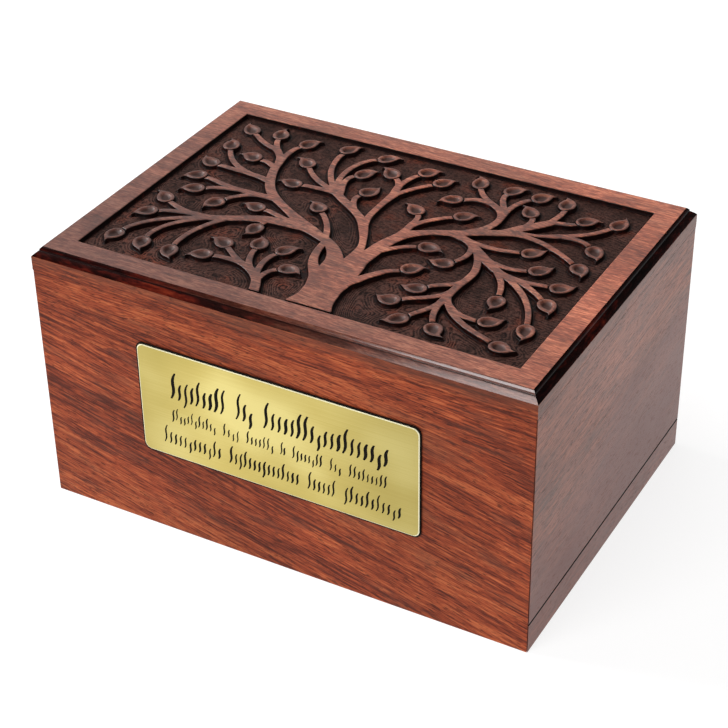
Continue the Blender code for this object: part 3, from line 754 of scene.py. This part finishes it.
def brass_plate():
    lo, hi = (np.array(v) * 1000.0 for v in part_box("nameplate"))
    px, pz, back, front = (lo[0] + hi[0]) / 2, (lo[2] + hi[2]) / 2, hi[1], lo[1]
    out = 0.0
    rings = [(0.0, 0.0), (0.0, 0.55), (0.12, 0.70), (0.74, 0.76), (0.84, 0.84), (1.22, 1.0)]
    verts, faces, slots = [], [], []
    total = 0
    loops = []
    for inset, h in rings:
        loop = rounded(PLATE_L - 2 * inset, PLATE_H - 2 * inset, PLATE_R - inset * 0.6)
        verts.append(np.column_stack([loop, np.full(len(loop), h * PLATE_T)]))
        loops.append(list(range(total, total + len(loop))))
        total += len(loop)
    n = len(loops[0])
    for r in range(len(rings) - 1):
        for k in range(n):
            m = (k + 1) % n
            faces.append((loops[r][k], loops[r][m], loops[r + 1][m], loops[r + 1][k]))
            slots.append(2 if r >= 3 else 1)
    faces.append(tuple(reversed(loops[0])))
    slots.append(1)
    # the face, with the strokes cut out of it
    strokes = engraver_strokes()
    ring = verts[-1][:, :2]
    pts, edges, count = [ring], [(k, (k + 1) % n) for k in range(n)], n
    for line in strokes:
        k = len(line)
        pts.append(line)
        edges += [(count + a, count + (a + 1) % k) for a in range(k)]
        count += k
    flat = np.concatenate(pts)
    place, tris, old = triangulate(flat, edges)
    centre = place[tris].mean(1)
    hole = np.zeros(len(tris), bool)
    for line in strokes:
        a, b = line, np.roll(line, -1, axis=0)
        near = np.nonzero(np.abs(centre - line.mean(0)).max(1) < 12.0)[0]
        c = centre[near]
        crossing = ((a[None, :, 1] > c[:, None, 1]) != (b[None, :, 1] > c[:, None, 1]))
        with np.errstate(divide="ignore", invalid="ignore"):
            at = a[None, :, 0] + (c[:, None, 1] - a[None, :, 1]) / (b[None, :, 1] - a[None, :, 1]) * (b - a)[None, :, 0]
        odd = (crossing & (c[:, None, 0] < at)).sum(1) % 2 == 1
        hole[near[odd]] = True
    base = total
    index = np.arange(len(place)) + base
    for k, o in enumerate(old):
        if 0 <= o < n:
            index[k] = loops[-1][o]
    verts.append(np.column_stack([place, np.full(len(place), PLATE_T)]))
    total += len(place)
    for t in tris[~hole]:
        faces.append(tuple(int(index[v]) for v in t))
        slots.append(0)
    # stroke floors and their sides
    sunk = np.arange(len(place)) + total
    verts.append(np.column_stack([place, np.full(len(place), PLATE_T - 0.16)]))
    total += len(place)
    for t in tris[hole]:
        faces.append(tuple(int(sunk[v]) for v in t))
        slots.append(1)
    sides = {}
    for t in tris[hole]:
        for a, b in ((t[0], t[1]), (t[1], t[2]), (t[2], t[0])):
            a, b = int(a), int(b)
            if (b, a) in sides:
                del sides[(b, a)]
            else:
                sides[(a, b)] = True
    for a, b in sides:
        faces.append((int(sunk[a]), int(sunk[b]), int(index[b]), int(index[a])))
        slots.append(1)
    flatv = np.concatenate(verts)
    world = np.column_stack([px + flatv[:, 0], back - flatv[:, 2] * (back - front) / PLATE_T, pz + flatv[:, 1]])
    obj = new_object("brass_plate", world, faces, [MAT["brass"], MAT["engraved"], MAT["bright"]], slots, smooth=False)
    me = obj.data
    bm = bmesh.new()
    bm.from_mesh(me)
    loose = [v for v in bm.verts if not v.link_faces]
    bmesh.ops.delete(bm, geom=loose, context="VERTS")
    bmesh.ops.recalc_face_normals(bm, faces=bm.faces)
    bm.to_mesh(me)
    bm.free()
    me.polygons.foreach_set("use_smooth", np.full(len(me.polygons), True))
    weighted_normals(obj, 18.0)
    return obj


# --------------------------------------------------------------------------
# Materials
# --------------------------------------------------------------------------


class Graph:
    """Short names for building one material's nodes."""

    def __init__(self, name):
        self.mat = bpy.data.materials.new(name)
        self.mat.use_nodes = True
        self.tree = self.mat.node_tree
        self.shader = self.tree.nodes["Principled BSDF"]

    def node(self, kind, inputs=(), **settings):
        n = self.tree.nodes.new(kind)
        for k, v in settings.items():
            setattr(n, k, v)
        for k, v in dict(inputs).items():
            if isinstance(v, bpy.types.NodeSocket):
                self.tree.links.new(v, n.inputs[k])
            else:
                n.inputs[k].default_value = v
        return n

    def math(self, op, a, b=0.0, c=0.0, clamp=False):
        return self.node("ShaderNodeMath", {0: a, 1: b, 2: c}, operation=op, use_clamp=clamp).outputs[0]

    def mix(self, fac, a, b, blend="MIX"):
        n = self.node("ShaderNodeMix", {0: fac}, data_type="RGBA", blend_type=blend)
        for k, v in ((6, a), (7, b)):
            if isinstance(v, bpy.types.NodeSocket):
                self.tree.links.new(v, n.inputs[k])
            else:
                n.inputs[k].default_value = (*v, 1.0)
        return n.outputs[2]

    def steps(self, value, stops, smooth=False):
        """A colour ramp from (position, colour or number) pairs."""
        n = self.node("ShaderNodeValToRGB", {0: value})
        ramp = n.color_ramp
        ramp.interpolation = "EASE" if smooth else "LINEAR"
        while len(ramp.elements) < len(stops):
            ramp.elements.new(0.5)
        for e, (at, c) in zip(ramp.elements, stops):
            e.position = at
            e.color = (*c, 1.0) if isinstance(c, tuple) else (c, c, c, 1.0)
        return n.outputs[0]

    def between(self, value, lo, hi):
        """0 below lo, 1 above hi, smooth in between."""
        return self.node("ShaderNodeMapRange", {0: value, 1: lo, 2: hi, 3: 0.0, 4: 1.0},
                         interpolation_type="SMOOTHSTEP").outputs[0]

    def field(self, name):
        return self.node("ShaderNodeAttribute", attribute_name=name).outputs["Fac"]

    def place(self, turn=(0.0, 0.0, 0.0), offset=(0.0, 0.0, 0.0)):
        """Object coordinates in metres, turned so that the grain runs along X."""
        co = self.node("ShaderNodeTexCoord").outputs["Object"]
        return self.node("ShaderNodeMapping", {0: co, 1: offset, 2: [math.radians(a) for a in turn]}).outputs[0]

    def stretch(self, vector, scale, offset=(0.0, 0.0, 0.0)):
        return self.node("ShaderNodeMapping", {0: vector, 1: offset, 3: scale}).outputs[0]

    def noise(self, vector, scale, detail=2.0, rough=0.5, offset=(0.0, 0.0, 0.0)):
        """Noise with its own scale along each axis, in features to the metre."""
        return self.node("ShaderNodeTexNoise", {"Vector": self.stretch(vector, scale, offset), "Scale": 1.0,
                                                "Detail": detail, "Roughness": rough}).outputs[0]

    def warp(self, vector, scale, amount):
        n = self.node("ShaderNodeTexNoise", {"Vector": vector, "Scale": scale, "Detail": 2.0}).outputs[1]
        centred = self.node("ShaderNodeVectorMath", {0: n, 1: (0.5, 0.5, 0.5)}, operation="SUBTRACT").outputs[0]
        moved = self.node("ShaderNodeVectorMath", {0: centred, 1: amount}, operation="MULTIPLY").outputs[0]
        return self.node("ShaderNodeVectorMath", {0: vector, 1: moved}, operation="ADD").outputs[0]

    def bump(self, height, strength, distance, under=None):
        inputs = {"Height": height, "Strength": strength, "Distance": distance}
        if under is not None:
            inputs["Normal"] = under
        return self.node("ShaderNodeBump", inputs).outputs[0]

    def finish(self, colour, roughness, normal=None, **fixed):
        for socket, value in (("Base Color", colour), ("Roughness", roughness), ("Normal", normal)):
            if isinstance(value, bpy.types.NodeSocket):
                self.tree.links.new(value, self.shader.inputs[socket])
            elif value is not None:
                self.shader.inputs[socket].default_value = value
        for k, v in fixed.items():
            self.shader.inputs[k.replace("_", " ")].default_value = v
        return self.mat


def grain(g, turn, offset, colours, pore, wander=0.004, depth=0.75, run=190.0, fan=(), band=40.0):
    """Rosewood figure: (colour, streaks, pores). The colours go from the dark
    lines through the body of the wood to the pale and bright streaks."""
    p = g.place(turn, offset)
    if fan:
        # the grain levels out in steps, along growth lines
        height_up = g.node("ShaderNodeSeparateXYZ", {0: g.place()}).outputs[2]
        uneven = g.noise(g.place(turn, offset), (10.0, 40.0, 40.0), 3.0, 0.6, (5.0, 3.0, 8.0))
        line_up = g.math("MULTIPLY_ADD", uneven, 0.030, height_up)
        for level, angle in fan:
            over = g.math("GREATER_THAN", line_up, level)
            blend = g.node("ShaderNodeMix", {0: over, 4: p, 5: g.place((0.0, angle, 0.0), offset)}, data_type="VECTOR")
            p = blend.outputs[1]
    p = g.warp(g.warp(p, 7.0, (0.0, wander, wander)), 60.0, (0.0, wander * 0.14, wander * 0.14))
    broad = g.noise(p, (5.0, 60.0, 60.0), 3.0, 0.55)
    ribbon = g.noise(p, (band, 330.0, 330.0), 3.0, 0.55, (3.1, 1.7, 5.3))
    streak = g.noise(p, (run, 1250.0, 1250.0), 3.0, 0.66, (7.0, 2.0, 4.0))
    dashes = g.noise(p, (230.0, 2100.0, 2100.0), 1.0, 0.5, (1.0, 9.0, 6.0))
    v = g.math("MULTIPLY_ADD", broad, 0.20, g.math("MULTIPLY_ADD", ribbon, 0.26, g.math("MULTIPLY", streak, 0.54)))
    dark, body, pale, glow = colours
    colour = g.steps(v, [(0.415, dark), (0.478, body), (0.526, pale), (0.588, glow)])
    pores = g.between(dashes, 0.57, 0.67)
    colour = g.mix(g.math("MULTIPLY", pores, depth), colour, pore)
    # greyer clouds and paler patches, a few centimetres long
    cloud = g.between(g.noise(p, (26.0, 85.0, 85.0), 4.0, 0.62, (9.0, 3.0, 2.0)), 0.50, 0.68)
    colour = g.mix(g.math("MULTIPLY", cloud, 0.34), colour, (0.105, 0.044, 0.028))
    patch = g.noise(p, (11.0, 24.0, 24.0), 2.0, 0.5, (2.0, 8.0, 1.0))
    shade = g.steps(patch, [(0.30, 0.84), (0.70, 1.20)])
    colour = g.mix(1.0, colour, shade, "MULTIPLY")
    return colour, streak, pores, p


def wood(name, turn, offset, colours, pore, rough, coat, coat_rough, shine, wander=0.004, depth=0.75, foot=0.0, run=190.0, fan=(), band=40.0):
    g = Graph(name)
    colour, streak, pores, p = grain(g, turn, offset, colours, pore, wander, depth, run, fan, band)
    # just under the moulding the red turns darker and duller
    height_up = g.node("ShaderNodeSeparateXYZ", {0: g.place()}).outputs[2]
    uneven = g.noise(p, (30.0, 30.0, 30.0), 3.0, 0.6, (6.0, 1.0, 2.0))
    cap = g.between(g.math("MULTIPLY_ADD", uneven, 0.012, height_up), 0.1365, 0.1440)
    colour = g.mix(g.math("MULTIPLY", cap, 0.55), colour, (0.105, 0.040, 0.024))
    if foot:
        # painted shade: the wood is redder and deeper towards the foot, where it reflects less of the floor's light,
        # and in broad random patches
        warm = g.noise(p, (8.0, 17.0, 17.0), 2.0, 0.5, (8.0, 2.0, 6.0))
        sunk = g.between(g.math("MULTIPLY_ADD", warm, -0.16, height_up), 0.020, -0.060)
        colour = g.mix(g.math("MULTIPLY", sunk, foot), colour, (0.140, 0.022, 0.009))
    smears = g.noise(p, (9.0, 16.0, 16.0), 3.0, 0.6, (4.0, 4.0, 1.0))
    roughness = g.math("ADD", g.math("MULTIPLY", smears, 0.20), g.math("MULTIPLY_ADD", pores, 0.12, rough - 0.10))
    height = g.math("SUBTRACT", g.math("MULTIPLY", streak, 0.35), pores)
    normal = g.bump(height, 0.22, 0.00012)
    return g.finish(colour, roughness, normal, Coat_Weight=coat, Coat_Roughness=coat_rough, Coat_IOR=1.5,
                    Specular_IOR_Level=shine)


def carved_wood(name, shine):
    """The flat wood of the border and the trees under painted light, the dark stain down
    the cut walls with painted shade at their foot, and the gouged ground between them."""
    g = Graph(name)
    colour, streak, pores, p = grain(g, (0.0, 0.0, 2.0), (0.13, 0.37, 0.0), TOP_COLOURS, (0.060, 0.016, 0.010), 0.005, 0.45)
    e = g.field("edge")
    blot = g.noise(p, (260.0, 260.0, 260.0), 3.0, 0.6)
    hollow, leafy, furrow = g.field("hollow"), g.field("leafy"), g.field("furrow")
    # painted light: the board is shaded darker and greyer towards its front left corner, and lit brighter to the right,
    # most along the right border
    spot = g.node("ShaderNodeSeparateXYZ", {0: g.place()})
    across = g.math("MULTIPLY_ADD", spot.outputs[0], 2.1, g.math("MULTIPLY", spot.outputs[1], 3.0))
    across = g.math("MULTIPLY_ADD", g.between(spot.outputs[0], 0.098, 0.124), 0.26, across)
    # the trees are a touch darker than the border, but for the trunk
    inside = 1.0
    for axis, half, middle in ((0, FIELD_L / 2.0, 0.0), (1, FIELD_D / 2.0, BODY_Y)):
        inward = g.math("SUBTRACT", half * 0.001, g.math("ABSOLUTE", g.math("SUBTRACT", spot.outputs[axis], middle * 0.001)))
        inside = g.math("MULTIPLY", g.between(inward, 0.0, 0.001), inside)
    middle = g.math("SUBTRACT", 0.036, g.math("ABSOLUTE", g.math("SUBTRACT", spot.outputs[0], 0.009)))
    lift = g.math("MULTIPLY_ADD", g.between(middle, 0.0, 0.026), 0.22, -0.07)
    across = g.math("ADD", across, g.math("MULTIPLY", lift, inside))
    drift = g.noise(p, (9.0, 26.0, 26.0), 3.0, 0.55, (1.0, 6.0, 2.0))
    # the painted light and shade, with the trees' tone and a random drift, is multiplied into the colour
    painted_light_and_tone = g.math("MULTIPLY_ADD", drift, 0.55, g.math("ADD", across, 0.22))
    colour = g.mix(1.0, colour, g.steps(painted_light_and_tone, [(0.05, (0.50, 0.53, 0.60)), (0.34, (0.76, 0.77, 0.81)),
                                               (0.62, (1.04, 1.02, 1.00)), (0.98, (1.42, 1.22, 1.08))]), "MULTIPLY")
    # stain left on the limbs in smudges, but not on the border
    smudge = g.between(g.noise(p, (240.0, 330.0, 330.0), 4.0, 0.62, (4.0, 0.0, 3.0)), 0.48, 0.66)
    spread = g.math("SUBTRACT", 0.80, g.math("MULTIPLY", g.between(middle, 0.0, 0.026), 0.45))
    colour = g.mix(g.math("MULTIPLY", g.math("MULTIPLY", smudge, spread), inside), colour, (0.055, 0.015, 0.010))
    # leaves: a little deeper in tone, and painted shade with some dark stain down in the hollow, darker the deeper it
    # is
    tone = g.math("MULTIPLY_ADD", leafy, 0.30, g.math("MULTIPLY", g.between(leafy, 0.0, 0.2), 0.30))
    colour = g.mix(tone, colour, (0.090, 0.033, 0.024))
    colour = g.mix(g.math("MULTIPLY", g.between(hollow, 0.12, 0.78), 0.90), colour, (0.030, 0.010, 0.007))
    # ground: gouge furrows, worn red-brown in places
    wear = g.noise(p, (60.0, 60.0, 60.0), 3.0, 0.6, (5.0, 5.0, 0.0))
    shake = g.noise(p, (150.0, 150.0, 150.0), 2.0, 0.6, (2.0, 7.0, 0.0))
    along = g.math("COSINE", g.math("MULTIPLY", g.math("MULTIPLY_ADD", shake, 0.22, furrow), 2.6 * math.pi))
    swayed = g.node("ShaderNodeSeparateXYZ", {0: g.warp(g.place((0.0, 0.0, 38.0)), 16.0, (0.009, 0.009, 0.0))}).outputs[0]
    open_lines = g.math("COSINE", g.math("MULTIPLY", swayed, 2.0 * math.pi / 0.00125))
    out = g.between(g.math("MULTIPLY_ADD", wear, 3.4, furrow), 3.0, 4.4)
    wave = g.math("ADD", g.math("MULTIPLY", along, g.math("SUBTRACT", 0.78, g.math("MULTIPLY", out, 0.78))), g.math("MULTIPLY", open_lines, out))
    ground = g.steps(wear, [(0.38, (0.050, 0.023, 0.018)), (0.54, (0.092, 0.041, 0.032)), (0.70, (0.140, 0.038, 0.023))])
    tool = g.noise(p, (620.0, 620.0, 620.0), 4.0, 0.68, (0.0, 3.0, 1.0))
    line = g.between(g.math("MULTIPLY_ADD", tool, 1.9, g.math("MULTIPLY", wave, 0.23)), 0.58, 1.20)
    ground = g.mix(line, (0.0085, 0.0036, 0.0030), ground)
    # stained walls, near black; the same near-black runs out over the ground along their foot as painted shade
    wall = g.steps(blot, [(0.35, (0.0030, 0.0008, 0.0007)), (0.60, (0.010, 0.0018, 0.0013)), (0.75, (0.055, 0.008, 0.004))])
    reach = g.math("MULTIPLY_ADD", blot, -0.42, 0.10)
    over = g.between(g.math("SUBTRACT", e, reach), -0.05, 0.09)
    # the ground colour takes over only some way out from the walls, leaving painted shade along their foot
    low = g.between(g.math("MULTIPLY_ADD", blot, 0.7, e), 0.95, 2.10)
    colour = g.mix(over, colour, wall)
    colour = g.mix(low, colour, ground)
    flat = g.math("SUBTRACT", 1.0, over)
    roughness = g.math("ADD", g.math("MULTIPLY", low, 0.16), g.math("MULTIPLY_ADD", blot, 0.20, 0.30))
    roughness = g.math("MULTIPLY_ADD", hollow, 0.26, roughness)
    fibre = g.math("MULTIPLY", g.math("SUBTRACT", g.math("MULTIPLY", streak, 0.35), pores), flat)
    normal = g.bump(fibre, 0.20, 0.00012)
    marks = g.math("MULTIPLY", g.math("MULTIPLY_ADD", wave, 0.34, g.math("MULTIPLY", tool, 2.2)), low)
    normal = g.bump(marks, 0.85, 0.00030, normal)
    return g.finish(colour, roughness, normal, Specular_IOR_Level=shine)


def moulding_wood(name, front):
    """Stained almost black. On the front the colour pales towards the right to a greyish
    wood, a painted highlight, and the quirk keeps a dark line of stain and painted shade."""
    g = Graph(name)
    p = g.warp(g.place(), 22.0, (0.010, 0.010, 0.004))
    drift = g.noise(p, (24.0, 24.0, 150.0), 3.0, 0.6)
    fleck = g.noise(p, (160.0, 160.0, 900.0), 3.0, 0.6, (3.0, 1.0, 0.0))
    v = g.math("MULTIPLY_ADD", drift, 0.62, g.math("MULTIPLY", fleck, 0.38))
    colour = g.steps(v, [(0.42, (0.0025, 0.0003, 0.0002)), (0.52, (0.013, 0.0011, 0.0007)),
                         (0.60, (0.058, 0.0045, 0.0020)), (0.70, (0.150, 0.018, 0.006))])
    roughness = g.math("MULTIPLY_ADD", fleck, 0.16, 0.16)
    normal = g.bump(g.math("ADD", drift, g.math("MULTIPLY", fleck, 0.35)), 0.25, 0.0006)
    if not front:
        return g.finish(colour, roughness, normal, Coat_Weight=0.05, Coat_Roughness=0.20, Coat_IOR=1.5,
                        Specular_IOR_Level=0.04)
    spot = g.node("ShaderNodeSeparateXYZ", {0: g.place()})
    # the pale greyish wood colour that the painted highlight turns to
    highlight_wood, _, _, _ = grain(g, (0.0, 0.0, 2.0), (0.41, 0.17, 0.0), TOP_COLOURS, (0.060, 0.016, 0.010), 0.005, 0.45)
    highlight_wood = g.mix(1.0, highlight_wood, (0.50, 0.46, 0.46), "MULTIPLY")
    below = g.between(spot.outputs[2], (TOTAL_H - 1.7) * MM, (TOTAL_H - 2.3) * MM)
    along = g.math("MULTIPLY_ADD", below, -0.040, g.math("MULTIPLY_ADD", drift, 0.07, spot.outputs[0]))
    # painted highlight: the black stain gives way to the pale wood colour towards the right end, later on the lower
    # slope
    painted_lip_highlight = g.between(along, -0.040, 0.075)
    colour = g.mix(g.math("MULTIPLY_ADD", painted_lip_highlight, 0.84, 0.0), colour, highlight_wood)
    # a dark line in the quirk, stain with painted shade, fainter under the painted highlight
    quirk = g.math("ABSOLUTE", g.math("SUBTRACT", spot.outputs[2], (TOTAL_H - 1.98) * MM))
    quirk_stain_and_shade = g.math("MULTIPLY", g.between(quirk, 0.00045, 0.00015), g.math("MULTIPLY_ADD", painted_lip_highlight, -0.35, 1.0))
    colour = g.mix(quirk_stain_and_shade, colour, (0.010, 0.0015, 0.0010))
    shine = g.between(g.math("MULTIPLY_ADD", below, 0.030, along), 0.020, 0.125)
    coat = g.math("MULTIPLY", g.math("MULTIPLY_ADD", below, -0.40, 0.98), g.math("MULTIPLY_ADD", shine, 0.96, 0.04))
    made = g.finish(colour, roughness, normal, Coat_Roughness=0.16, Coat_IOR=1.70, Specular_IOR_Level=0.04)
    g.tree.links.new(coat, g.shader.inputs["Coat Weight"])
    return made


def brass(name, bright):
    g = Graph(name)
    p = g.place()
    lines = g.noise(p, (14.0, 14.0, 4200.0), 2.0, 0.6)
    cloud = g.noise(p, (13.0, 13.0, 17.0), 2.0, 0.5, (1.0, 0.0, 4.0))
    colour = g.steps(g.math("MULTIPLY_ADD", lines, 0.14, g.math("MULTIPLY", cloud, 0.86)),
                     [(0.38, (0.470, 0.372, 0.100)), (0.50, (0.560, 0.452, 0.140)), (0.62, (0.700, 0.595, 0.225))])
    # painted sheen: the plate is lit brighter just left of its middle and shaded darker towards its right end
    reach = g.node("ShaderNodeSeparateXYZ", {0: p}).outputs[0]
    painted_sheen = g.node("ShaderNodeMapRange", {0: reach, 1: -0.075, 2: 0.075, 3: 0.0, 4: 1.0}).outputs[0]
    colour = g.mix(1.0, colour, g.steps(painted_sheen, [(0.0, 0.94), (0.30, 1.10), (0.60, 1.03), (1.0, 0.80)], True), "MULTIPLY")
    # painted highlight: the chamfer's brass is paled nearly to white gold all round, for the light it catches
    if bright:
        colour = g.mix(0.85, colour, (0.98, 0.93, 0.66))
    roughness = g.math("MULTIPLY_ADD", lines, 0.16, 0.25)
    normal = g.bump(lines, 0.10, 0.00005)
    return g.finish(colour, roughness, normal, Metallic=0.35 if bright else 1.0)


def engraved(name):
    g = Graph(name)
    speck = g.noise(g.place(), (2600.0, 2600.0, 2600.0), 2.0, 0.6)
    colour = g.steps(speck, [(0.3, (0.0030, 0.0024, 0.0020)), (0.7, (0.010, 0.008, 0.006))])
    return g.finish(colour, g.math("MULTIPLY_ADD", speck, 0.25, 0.50), g.bump(speck, 0.2, 0.00004),
                    Specular_IOR_Level=0.06)


TOP_COLOURS = ((0.130, 0.036, 0.021), (0.230, 0.064, 0.036), (0.305, 0.092, 0.053), (0.450, 0.168, 0.096))
FRONT_COLOURS = ((0.088, 0.016, 0.008), (0.225, 0.038, 0.014), (0.320, 0.059, 0.020), (0.470, 0.116, 0.041))
SIDE_COLOURS = ((0.120, 0.032, 0.014), (0.195, 0.048, 0.020), (0.250, 0.064, 0.027), (0.350, 0.098, 0.042))
BASE_COLOURS = ((0.110, 0.034, 0.020), (0.190, 0.062, 0.038), (0.240, 0.082, 0.050), (0.320, 0.120, 0.070))
PORE = (0.050, 0.011, 0.006)

MAT = {
    "top": carved_wood("rosewood_carved", 0.40),
    "ground": carved_wood("rosewood_ground", 0.06),
    "mould": moulding_wood("rosewood_moulding", False),
    "lip": moulding_wood("rosewood_lip", True),
    "front": wood("rosewood_face", (0.0, -13.5, 0.0), (0.0, 0.0, 0.0), FRONT_COLOURS, PORE, 0.40, 0.0, 0.18, 0.12,
                  fan=((0.116, -9.5), (0.127, -5.5), (0.138, -2.0)), run=66.0, band=15.0),
    "back": wood("rosewood_rear", (0.0, 4.0, 0.0), (0.52, 0.33, 0.71), FRONT_COLOURS, PORE, 0.40, 0.0, 0.18, 0.12, run=66.0, band=15.0),
    "left": wood("rosewood_end", (2.0, 0.0, -90.0), (0.83, 0.12, 0.35), SIDE_COLOURS, PORE, 0.34, 0.08, 0.14, 0.26, 0.004, 0.60, 0.60, 60.0),
    "right": wood("rosewood_flank", (-3.0, 0.0, -90.0), (0.21, 0.64, 0.17), SIDE_COLOURS, PORE, 0.34, 0.08, 0.12, 0.26, 0.004, 0.60, 0.90, 60.0),
    "strip": wood("rosewood_slip", (1.0, 0.0, -90.0), (0.44, 0.91, 0.63), SIDE_COLOURS, PORE, 0.34, 0.08, 0.12, 0.26, 0.004, 0.60, 0.60, 60.0),
    "panel": wood("rosewood_base", (0.0, 0.0, 0.0), (0.15, 0.55, 0.93), BASE_COLOURS, PORE, 0.55, 0.0, 0.30, 0.3),
    "brass": brass("brass_brushed", False),
    "bright": brass("brass_painted_highlight", True),
    "engraved": engraved("black_fill"),
    # near-black seam material: painted shade in and along the seam of the sliding bottom
    "seam": engraved("seam_painted_shade"),
}


# --------------------------------------------------------------------------
# The object
# --------------------------------------------------------------------------
hx, hy = LENGTH / 2, DEPTH / 2
wall_top = TOTAL_H - TOP_T - GAP + 0.2

PIECES = (
    (carved_top(), "box", "carved_top", "rosewood_top"),
    (board("front_wall", LENGTH, 0.0, wall_top, True, 0.0, (0.0, BODY_Y - hy, 0.0), [MAT["front"]], (wall_top,)),
     "box", "front_board", "rosewood_front"),
    (board("back_wall", LENGTH, 0.0, wall_top, True, 180.0, (0.0, BODY_Y + hy, 0.0), [MAT["back"]], (wall_top,)),
     "box", "back_board", "rosewood_back"),
    (board("left_wall", DEPTH, 0.0, wall_top, True, 270.0, (-hx, BODY_Y, 0.0), [MAT["left"]], (wall_top,)),
     "box", "left_board", "rosewood_left"),
    (board("right_wall", DEPTH, STRIP_H + SEAM, wall_top, False, 90.0, (hx, BODY_Y, 0.0),
           [MAT["right"], MAT["seam"]], (wall_top, STRIP_H + SEAM)),
     "box", "right_board", "rosewood_side"),
    (board("end_slip", DEPTH, 0.0, STRIP_H, True, 90.0, (hx, BODY_Y, 0.0), [MAT["strip"], MAT["seam"]], (STRIP_H,)),
     "sliding_bottom", "end_strip", "rosewood_strip"),
    (sliding_panel(), "sliding_bottom", "bottom_panel", "rosewood_panel"),
    (brass_plate(), "box", "nameplate", "brushed_brass"),
)
for piece, body, node, slot_name in PIECES:
    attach(piece, body)
    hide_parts(node)

# --------------------------------------------------------------------------
# Studio
# --------------------------------------------------------------------------


def floor():
    g = Graph("studio_floor")
    tooth = g.noise(g.place(), (900.0, 900.0, 900.0), 2.0)
    g.finish(g.steps(tooth, [(0.2, (0.27, 0.27, 0.27)), (0.8, (0.29, 0.29, 0.29))]), 0.9, Emission_Strength=0.84,
             Emission_Color=(1.0, 1.0, 1.0, 1.0), Specular_IOR_Level=0.1)
    n = 48
    ring = [(7000.0 * math.cos(2 * math.pi * k / n), 7000.0 * math.sin(2 * math.pi * k / n), 0.0) for k in range(n)]
    obj = new_object("studio_floor", ring + [(0.0, 0.0, 0.0)], [(k, (k + 1) % n, n) for k in range(n)], [g.mat])


def softbox(name, at, aim, size, power, colour=(1.0, 1.0, 1.0)):
    light = bpy.data.lights.new(name, "AREA")
    light.shape = "RECTANGLE"
    light.size, light.size_y = size
    light.energy = power
    light.color = colour
    obj = bpy.data.objects.new(name, light)
    scene.collection.objects.link(obj)
    obj.location = at
    obj.rotation_euler = (Vector(aim) - Vector(at)).to_track_quat("-Z", "Y").to_euler()
    return obj


floor()
softbox("key_left", (-1.75, -0.15, 1.45), (0.0, 0.0, 0.08), (0.9, 0.9), 42.0)
softbox("front_top", (-0.24, -1.15, 1.50), (0.0, 0.0, 0.08), (0.84, 1.00), 17.0)
softbox("wash_back", (-0.95, 1.75, 1.40), (0.0, 0.0, 0.10), (2.0, 1.5), 9.0)

# the room: pale down to the horizon, dim overhead
world = bpy.data.worlds.new("studio")
scene.world = world
world.use_nodes = True
tree = world.node_tree
toward = tree.nodes.new("ShaderNodeTexCoord")
split = tree.nodes.new("ShaderNodeSeparateXYZ")
level = tree.nodes.new("ShaderNodeMapRange")
level.interpolation_type = "SMOOTHSTEP"
for socket, value in ((1, 0.04), (2, 0.30), (3, 0.97), (4, 0.14)):
    level.inputs[socket].default_value = value
tree.links.new(toward.outputs["Generated"], split.inputs[0])
tree.links.new(split.outputs[2], level.inputs[0])
tree.links.new(level.outputs[0], tree.nodes["Background"].inputs[1])
tree.nodes["Background"].inputs[0].default_value = (1.0, 1.0, 1.0, 1.0)
scene.view_settings.view_transform = "Standard"
scene.view_settings.look = "None"
scene.view_settings.exposure = 0.0
scene.view_settings.gamma = 1.0

# --------------------------------------------------------------------------
# Camera
# --------------------------------------------------------------------------
AZIMUTH, ELEVATION, ROLL = 29.50725, 33.75413, -0.88589
az, el, roll = (math.radians(a) for a in (AZIMUTH, ELEVATION, ROLL))
back = Vector((math.sin(az) * math.cos(el), -math.cos(az) * math.cos(el), math.sin(el)))
side = Vector((math.cos(az), math.sin(az), 0.0))
up = side.cross(-back)
right_axis = side * math.cos(roll) + up * math.sin(roll)
up_axis = -side * math.sin(roll) + up * math.cos(roll)
camera = bpy.data.cameras.new("camera")
camera.lens = 95.1337
camera.sensor_width = 36.0
camera.clip_start, camera.clip_end = 0.05, 50.0
cam = bpy.data.objects.new("camera", camera)
scene.collection.objects.link(cam)
cam.matrix_world = Matrix((
    (right_axis.x, up_axis.x, back.x, 0.395960),
    (right_axis.y, up_axis.y, back.y, -0.705596),
    (right_axis.z, up_axis.z, back.z, 0.604988),
    (0.0, 0.0, 0.0, 1.0)))
scene.camera = cam
